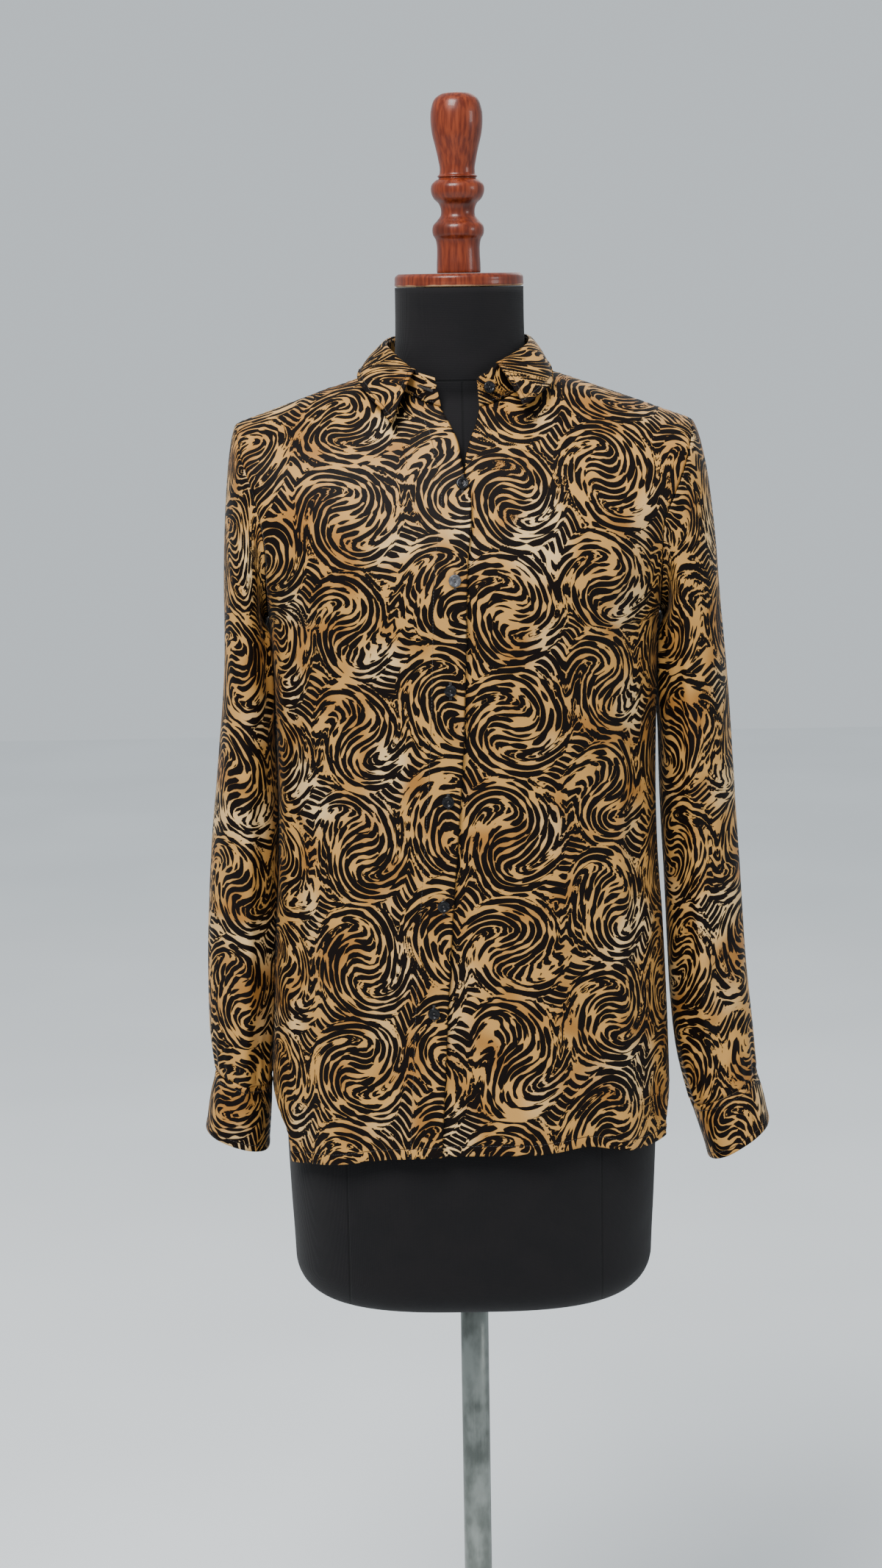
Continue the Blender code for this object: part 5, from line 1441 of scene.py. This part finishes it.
def lift_off_torso(points, clear):
    """Points raised until they clear the torso's cloth: z >= surface + clear * sqrt(1 + slope^2)."""
    x, y, z = points[..., 0], points[..., 1], points[..., 2]
    step = SLOPE_STEP

    def surface(x_at, y_at):
        front = height_on_torso(x_at, np.abs(y_at), "front_depth")
        return np.where(y_at < 0, front, height_on_torso(x_at, np.abs(y_at), "back_depth"))

    slope_y = (surface(x, y + step) - surface(x, y - step)) / (2 * step)
    slope_x = (surface(x + step, y) - surface(x - step, y)) / (2 * step)
    need = surface(x, y) + clear * np.sqrt(1 + np.clip(slope_x ** 2 + slope_y ** 2, 0, STEEPEST))
    lifted = points.copy()
    lifted[..., 2] = np.maximum(z, need)
    return lifted


LEAF_STITCH = 0.0050
LEAF_RISE = 0.0003
LEAF_WAVE = 0.0008
LEAF_LIFT = 0.0026
LEAF_TIP_LIFT = 0.0060
LEAF_TIP_REACH = 0.045
LEAF_WAVE_LENGTH = (0.035, 0.03)
LEAF_WAVE_SHIFT = (20, 3)
LEAF_WAVE_SINK = 0.3
LEAF_WAVE_DOWN = (0.006, 0.02)
LEAF_HANG_DOWN = (0.010, 0.050)
LEAF_CORNER_ROWS = 3
ROLL_ROWS = 9
STAND_UNEVENNESS = 0.4
STAND_STITCH = 0.0022


def neck_line():
    """The neckline round the four half panels, from the right front to the left, and the way across."""
    runs = []
    for grid, backwards in ((front_right_grid, False), (back_left_view, True),
                            (back_right_view, False), (front_left_grid, True)):
        edge, way = neck_edge(grid)
        runs.append((edge[::-1], way[::-1]) if backwards else (edge, way))
    return [np.concatenate([runs[0][k]] + [run[k][1:] for run in runs[1:]]) for k in (0, 1)]


def collar_line(table, share):
    """Points of a collar table at shares of the stand's length."""
    return np.stack([curve(table, key, share, "along") for key in "xyz"], axis=-1)


def stand_surface():
    """Straight rows, bottom + (top - bottom) * t, from the neckline to the stand's top."""
    bottom, across = resample(*neck_line(), COLLAR_COLUMNS)
    bottom = bottom + unit(across) * STAND_GAP
    top = collar_line(STAND_TOP, np.linspace(0, 1, COLLAR_COLUMNS))
    t = np.linspace(0, 1, STAND_ROWS + 1)[:, None, None]
    return bottom + (top - bottom) * t


def leaf_surface():
    """A roll (1-s)^2 start + 2s(1-s) control + s^2 turned, then a fall that bulges by 4t(1-t)."""
    share = np.linspace(LEAF_EDGE["along"][0], LEAF_EDGE["along"][-1], COLLAR_COLUMNS)
    root, lower = collar_line(STAND_TOP, share), collar_line(LEAF_EDGE, share)
    along = np.gradient(root, axis=0)
    outward = unit(np.stack([along[:, 1], -along[:, 0], 0 * along[:, 0]], axis=-1))
    if np.sum(outward * root) < 0:
        outward = -outward
    up = np.array([0, 0, 1.0])
    above = up * (SEAM_GAP + CLOTH_THICKNESS)
    turned_line = root + outward * LEAF_ROLL - up * LEAF_DROP
    start = root - outward * CLOTH_THICKNESS + above
    crest = root + outward * LEAF_CREST + above
    control = 2 * crest - (start + turned_line) / 2
    s = np.linspace(0, 1, ROLL_ROWS)[:, None, None]
    roll = (1 - s) ** 2 * start + 2 * s * (1 - s) * control + s * s * turned_line
    t = (np.arange(1, LEAF_ROWS + 1) / LEAF_ROWS)[:, None, None]
    bulge = outward * LEAF_BULGE + up * LEAF_BULGE_UP
    fall = turned_line + (lower - turned_line) * t + 4 * t * (1 - t) * bulge
    return np.concatenate([roll, lift_off_torso(fall, CLOTH_THICKNESS + LAP_RISE + CLEARANCE)])


stand_grid = stand_surface()
stand_run, stand_up = run_along(stand_grid, 1), run_along(stand_grid, 0)
stand_rise = unevenness(stand_run, stand_up, SEEDS["stand"]) * STAND_UNEVENNESS
stand_cloth = raised(stand_grid, stand_rise, -1)
stand = cloth_wall("collar_stand_cloth", stand_cloth, stand_run + PRINT_CUT["stand"][0],
                   stand_up + PRINT_CUT["stand"][1], -1, False, satin)

leaf_grid = leaf_surface()
leaf_across, leaf_down = run_along(leaf_grid, 1), run_along(leaf_grid, 0)
leaf_run = leaf_across - leaf_across[:, [COLLAR_COLUMNS // 2]]
leaf_side = np.minimum(leaf_run - leaf_run[:, :1], leaf_run[:, -1:] - leaf_run)
leaf_edge = np.minimum(leaf_side, leaf_down[-1:] - leaf_down)
leaf_noise = value_noise(leaf_run / LEAF_WAVE_LENGTH[0] + LEAF_WAVE_SHIFT[0],
                         leaf_down / LEAF_WAVE_LENGTH[1] + LEAF_WAVE_SHIFT[1], SEEDS["leaf"])
leaf_wave = LEAF_WAVE * (leaf_noise - LEAF_WAVE_SINK) * ease(leaf_down, *LEAF_WAVE_DOWN)
leaf_tips = np.exp(-(leaf_side / LEAF_TIP_REACH) ** 2)
leaf_hang = ease(leaf_down, *LEAF_HANG_DOWN)
leaf_rise = stitched(leaf_edge, LEAF_STITCH, LEAF_RISE) + leaf_wave + LEAF_LIFT * leaf_hang
leaf_cloth = raised(leaf_grid, leaf_rise, 1)
leaf_cloth[..., 1] -= LEAF_TIP_LIFT * leaf_tips * leaf_hang
# The leaf's lines: its stitch line and its edge, where the print is darkened as painted shadow.
leaf = cloth_wall("collar_leaf_cloth", leaf_cloth, leaf_run + PRINT_CUT["leaf"][0],
                  -leaf_down - PRINT_CUT["leaf"][1], 1, False, satin,
                  lines=(leaf_edge - LEAF_STITCH, leaf_edge * EDGE_SHADOW_LINE))
leaf_way = normals(leaf_cloth, False)
lay_stitches(*line_inside(leaf_cloth, leaf_way, LEAF_STITCH, "last_row"))
for leaf_end in ("first_column", "last_column"):
    end_line = line_inside(leaf_cloth, leaf_way, LEAF_STITCH, leaf_end)
    lay_stitches(*(values[ROLL_ROWS:-LEAF_CORNER_ROWS] for values in end_line))
leaf_stitching = sew("collar_leaf_stitching")
stand_way = -normals(stand_cloth, False)


def placket_point(across, height):
    """Point of the lapping front's outer face and its way out, from the slopes of its depth."""
    step = SLOPE_STEP

    def depth(x, z):
        base = torso_depth(x, z, "front_depth") + fold_rise(TORSO_FOLDS, x, z)
        return float(base + lap_rise(x, z) + SEAM_GAP / 2)

    x, z = np.array(across), np.array(height)
    slope_x = (depth(x + step, z) - depth(x - step, z)) / (2 * step)
    slope_z = (depth(x, z + step) - depth(x, z - step)) / (2 * step)
    return np.array([across, -depth(x, z), height]), np.array([-slope_x, -1.0, -slope_z])


BUTTON_SEGMENTS = 48
BUTTON_DISH = 0.0006
BUTTON_HOLE_APART = 0.00105
BUTTON_HOLE_RADIUS = 0.00062
BUTTON_HOLE_DEPTH = 0.0011
BUTTON_SLOT_WIDTH = 0.0009
BUTTON_SLOT_LENGTH = 0.0021
BUTTON_SLOT_DEPTH = 0.0005
BUTTON_DISH_EDGE = (0.0026, 0.0039)
BUTTON_EDGE_STEPS = 11
BUTTON_TOP_STEPS = 26
BUTTON_THREADS = (-0.00022, 0.00022)
BUTTON_THREAD_POINTS = 5
BUTTON_THREAD_LENGTH = 0.0022
BUTTON_THREAD_RADIUS = 0.00026


def button_body(name, centre, way_out, resin):
    """Rings round an edge turned by angle, then h = top - dish - two pits - a slot, inwards to the middle."""
    normal = unit(way_out)
    aside = unit(np.cross(np.array([0, 0, 1.0]), normal))
    upward = np.cross(normal, aside)
    turn = np.linspace(-math.pi / 2, math.pi / 2, BUTTON_EDGE_STEPS)
    edge_radius = BUTTON_RADIUS - BUTTON_RISE / 2 + BUTTON_RISE / 2 * np.cos(turn)
    edge_rise = BUTTON_RISE / 2 * (1 + np.sin(turn))
    inward = edge_radius[-1] * np.linspace(1, 0, BUTTON_TOP_STEPS)[1:-1]
    radius = np.concatenate([edge_radius, inward])[:, None]
    level = np.concatenate([edge_rise, np.full(len(inward), BUTTON_RISE)])[:, None]
    angle = np.linspace(0, 2 * math.pi, BUTTON_SEGMENTS, endpoint=False)
    x, y = radius * np.cos(angle), radius * np.sin(angle)
    on_top = (np.arange(len(radius)) >= len(turn))[:, None]
    dish = BUTTON_DISH * (1 - ease(radius, *BUTTON_DISH_EDGE))
    pits = sum(
        np.exp(-((x ** 2 + (y - away) ** 2) / BUTTON_HOLE_RADIUS ** 2) ** 2)
        for away in (-BUTTON_HOLE_APART, BUTTON_HOLE_APART))
    slot = np.exp(-(x / BUTTON_SLOT_WIDTH) ** 4 - (y / BUTTON_SLOT_LENGTH) ** 4)
    slot_depth = BUTTON_SLOT_DEPTH * slot * (1 - np.clip(pits, 0, 1))
    rise = level - on_top * (dish + BUTTON_HOLE_DEPTH * pits + slot_depth)
    base = centre + normal * BUTTON_GAP
    rings = base + x[..., None] * aside + y[..., None] * upward + rise[..., None] * normal
    middle = base + normal * (BUTTON_RISE - BUTTON_DISH - BUTTON_SLOT_DEPTH)
    item = ring_solid(name, rings, base, middle, resin)
    low = base - upward * BUTTON_HOLE_APART + normal * (BUTTON_RISE - BUTTON_DISH - BUTTON_SLOT_DEPTH)
    for shift in BUTTON_THREADS:
        path = np.linspace(low, low + upward * 2 * BUTTON_HOLE_APART, BUTTON_THREAD_POINTS) + aside * shift
        lay_stitches(path, np.broadcast_to(normal, path.shape), 2 * BUTTON_HOLE_APART,
                     BUTTON_THREAD_LENGTH, BUTTON_THREAD_RADIUS)
    return item


GREY_BUTTON = 1
HOLE_LENGTH = 0.0150
HOLE_PITCH = 0.00062
HOLE_BAR = 0.0026
HOLE_THREAD = 0.00022
HOLE_POINTS = 9
# The buttonhole in the stand, counted in columns of its grid from the lapping end.
STAND_HOLE = slice(2, 10)
placket_grid = front_right_grid.reshape(-1, 3)
placket_relief = front_relief(front_right_grid, True).ravel()


def on_placket(x, z):
    """Point and way out on the lapping front with the relief of the nearest place on its grid."""
    point, way_out = placket_point(x, z)
    way_out = unit(way_out)
    near = np.argmin((placket_grid[:, 0] - x) ** 2 + (placket_grid[:, 2] - z) ** 2)
    return point + way_out * placket_relief[near], way_out


buttons = []
for index, (button_x, button_z) in enumerate(zip(FRONT_BUTTONS["across"], FRONT_BUTTONS["height"])):
    resin = grey_resin if index == GREY_BUTTON else black_resin
    buttons.append(button_body(f"button_{index + 1}_body", *placket_point(button_x, button_z), resin))
    hole_heights = np.linspace(button_z - HOLE_LENGTH / 2, button_z + HOLE_LENGTH / 2, HOLE_POINTS)
    hole = [on_placket(button_x, hole_height) for hole_height in hole_heights]
    lay_stitches(np.array([point for point, _ in hole]), np.array([way_out for _, way_out in hole]),
                 HOLE_PITCH, HOLE_BAR, HOLE_THREAD, turned_across=True)
buttonhole_stitching = sew("buttonhole_stitching")
lay_stitches(*line_inside(stand_cloth, stand_way, STAND_STITCH, "first_row"))
stand_at = int(round(STAND_BUTTON_ALONG * (COLLAR_COLUMNS - 1)))
stand_low, stand_high = stand_grid[0, stand_at], stand_grid[-1, stand_at]
stand_button_way = np.cross(stand_high - stand_low, stand_grid[0, stand_at - 1] - stand_low)
if stand_button_way[1] > 0:
    stand_button_way = -stand_button_way
stand_spot = stand_low + (stand_high - stand_low) * STAND_BUTTON_RISE
buttons.append(button_body("button_stand_body", stand_spot, stand_button_way, black_resin))
stand_middle = STAND_ROWS // 2
lay_stitches(stand_cloth[stand_middle, STAND_HOLE], stand_way[stand_middle, STAND_HOLE],
             HOLE_PITCH, HOLE_BAR, HOLE_THREAD, turned_across=True)
stand_stitching = sew("collar_stand_stitching")


def form_reach(z, dx, dy):
    """How far the form may reach each way inside the torso's cloth, by halving an interval."""
    low, high = np.zeros(z.shape), np.full(z.shape, FORM_LIMIT)
    cloth_depth = np.where(dy < 0, curve(TORSO, "front_depth", z), curve(TORSO, "back_depth", z))
    lifted = z + FORM_INSET
    sideways = np.abs(dy) < SMALLEST
    for _ in range(REACH_STEPS):
        radius = (low + high) / 2
        x, y = radius * dx, radius * dy
        limit = cloth_depth * plan(x, lifted) * crown(x, lifted)
        shoulder = lifted < ridge(np.abs(x) + FORM_SHOULDER_END * sideways)
        side = np.abs(x) + FORM_INSET < curve(TORSO, "half_width", lifted)
        inside = shoulder & side & (sideways | (np.abs(y) + FORM_INSET < limit))
        low, high = np.where(inside, radius, low), np.where(inside, high, radius)
    return low


FORM_EDGE_ROWS = 14
FORM_ROWS = 170


def form_surface():
    """Rings of radius min(own superellipse, max(reach inside the cloth, neck)), less a rounded lower edge."""
    turn = np.linspace(0, math.pi / 2, FORM_EDGE_ROWS)
    heights = np.concatenate([
        FORM_BOTTOM + FORM_EDGE_RADIUS * (1 - np.cos(turn)),
        np.linspace(FORM_BOTTOM + FORM_EDGE_RADIUS, FORM_TOP, FORM_ROWS)[1:]])
    inset = np.concatenate([FORM_EDGE_RADIUS * (1 - np.sin(turn)), np.zeros(FORM_ROWS - 1)])
    angle = np.linspace(0, 2 * math.pi, FORM_SEGMENTS, endpoint=False)
    dx, dy = np.sin(angle), -np.cos(angle)
    z = np.broadcast_to(heights[:, None], (len(heights), FORM_SEGMENTS))
    depth = np.where(dy < 0, curve(FORM, "front_depth", z), curve(FORM, "back_depth", z))
    half = curve(FORM, "half_width", z)
    own = ((np.abs(dx) / half) ** PLAN_POWER + (np.abs(dy) / depth) ** PLAN_POWER) ** (-1 / PLAN_POWER)
    flare = NECK_FLARE * np.exp(-np.clip(z - NECK_FLARE_HEIGHT, 0, 1) / NECK_FLARE_LENGTH)
    neck = np.where(z > NECK_START, NECK_RADIUS + flare * (z > NECK_FLARE_START), 0)
    radius = np.minimum(own, np.maximum(form_reach(z, dx, dy), neck)) - inset[:, None]
    return np.stack([radius * dx, radius * dy, z], axis=-1)


form = ring_solid("form_torso", form_surface(), (0, 0, FORM_BOTTOM), (0, 0, FORM_TOP), jersey)
plate = turned("neck_plate_wood", NECK_PLATE, wood)
knob = turned("finial_wood", FINIAL, wood)
tube = turned("pole_tube", POLE, steel, smooth=1)
foot = turned("base_disc", BASE, paint, smooth=1)

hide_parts("front_right")
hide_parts("front_left")
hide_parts("back")
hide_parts("sleeve_right")
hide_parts("cuff_right")
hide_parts("sleeve_left")
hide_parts("cuff_left")
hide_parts("collar_stand")
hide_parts("collar_leaf")
for button in buttons:
    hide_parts(button.name.removesuffix("_body"))
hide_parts("form_body")
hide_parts("neck_plate")
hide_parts("finial")
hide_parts("pole")
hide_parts("base")

# The stage.
floor_mesh = bpy.data.meshes.new("floor")
floor_mesh.from_pydata(FLOOR_CORNERS, [], [(0, 1, 2, 3)])
floor = bpy.data.objects.new("floor", floor_mesh)
bpy.context.scene.collection.objects.link(floor)
floor_mesh.materials.append(pale_floor())
world = bpy.data.worlds.new("studio")
world.use_nodes = True
sky = world.node_tree.nodes["Background"]
sky.inputs["Color"].default_value = SKY
sky.inputs["Strength"].default_value = SKY_STRENGTH
bpy.context.scene.world = world
for lamp_name, place, size, power in zip(*(LAMPS[key] for key in ("name", "place", "size", "power"))):
    light = bpy.data.lights.new(lamp_name, "AREA")
    light.size = size
    light.energy = power
    lamp = bpy.data.objects.new(lamp_name, light)
    lamp.location = place
    lamp.rotation_euler = (Vector(LAMP_AIM) - Vector(place)).to_track_quat("-Z", "Y").to_euler()
    bpy.context.scene.collection.objects.link(lamp)
eye = bpy.data.cameras.new("camera")
eye.sensor_fit = "VERTICAL"
eye.sensor_height = FILM_HEIGHT
eye.lens = CAMERA_LENS
camera = bpy.data.objects.new("camera", eye)
camera.matrix_world = (
    Matrix.Translation(CAMERA_PLACE) @ Euler((math.radians(90 - CAMERA_PITCH), 0, 0)).to_matrix().to_4x4()
    @ Matrix.Rotation(math.radians(CAMERA_ROLL), 4, "Z"))
bpy.context.scene.collection.objects.link(camera)
bpy.context.scene.camera = camera
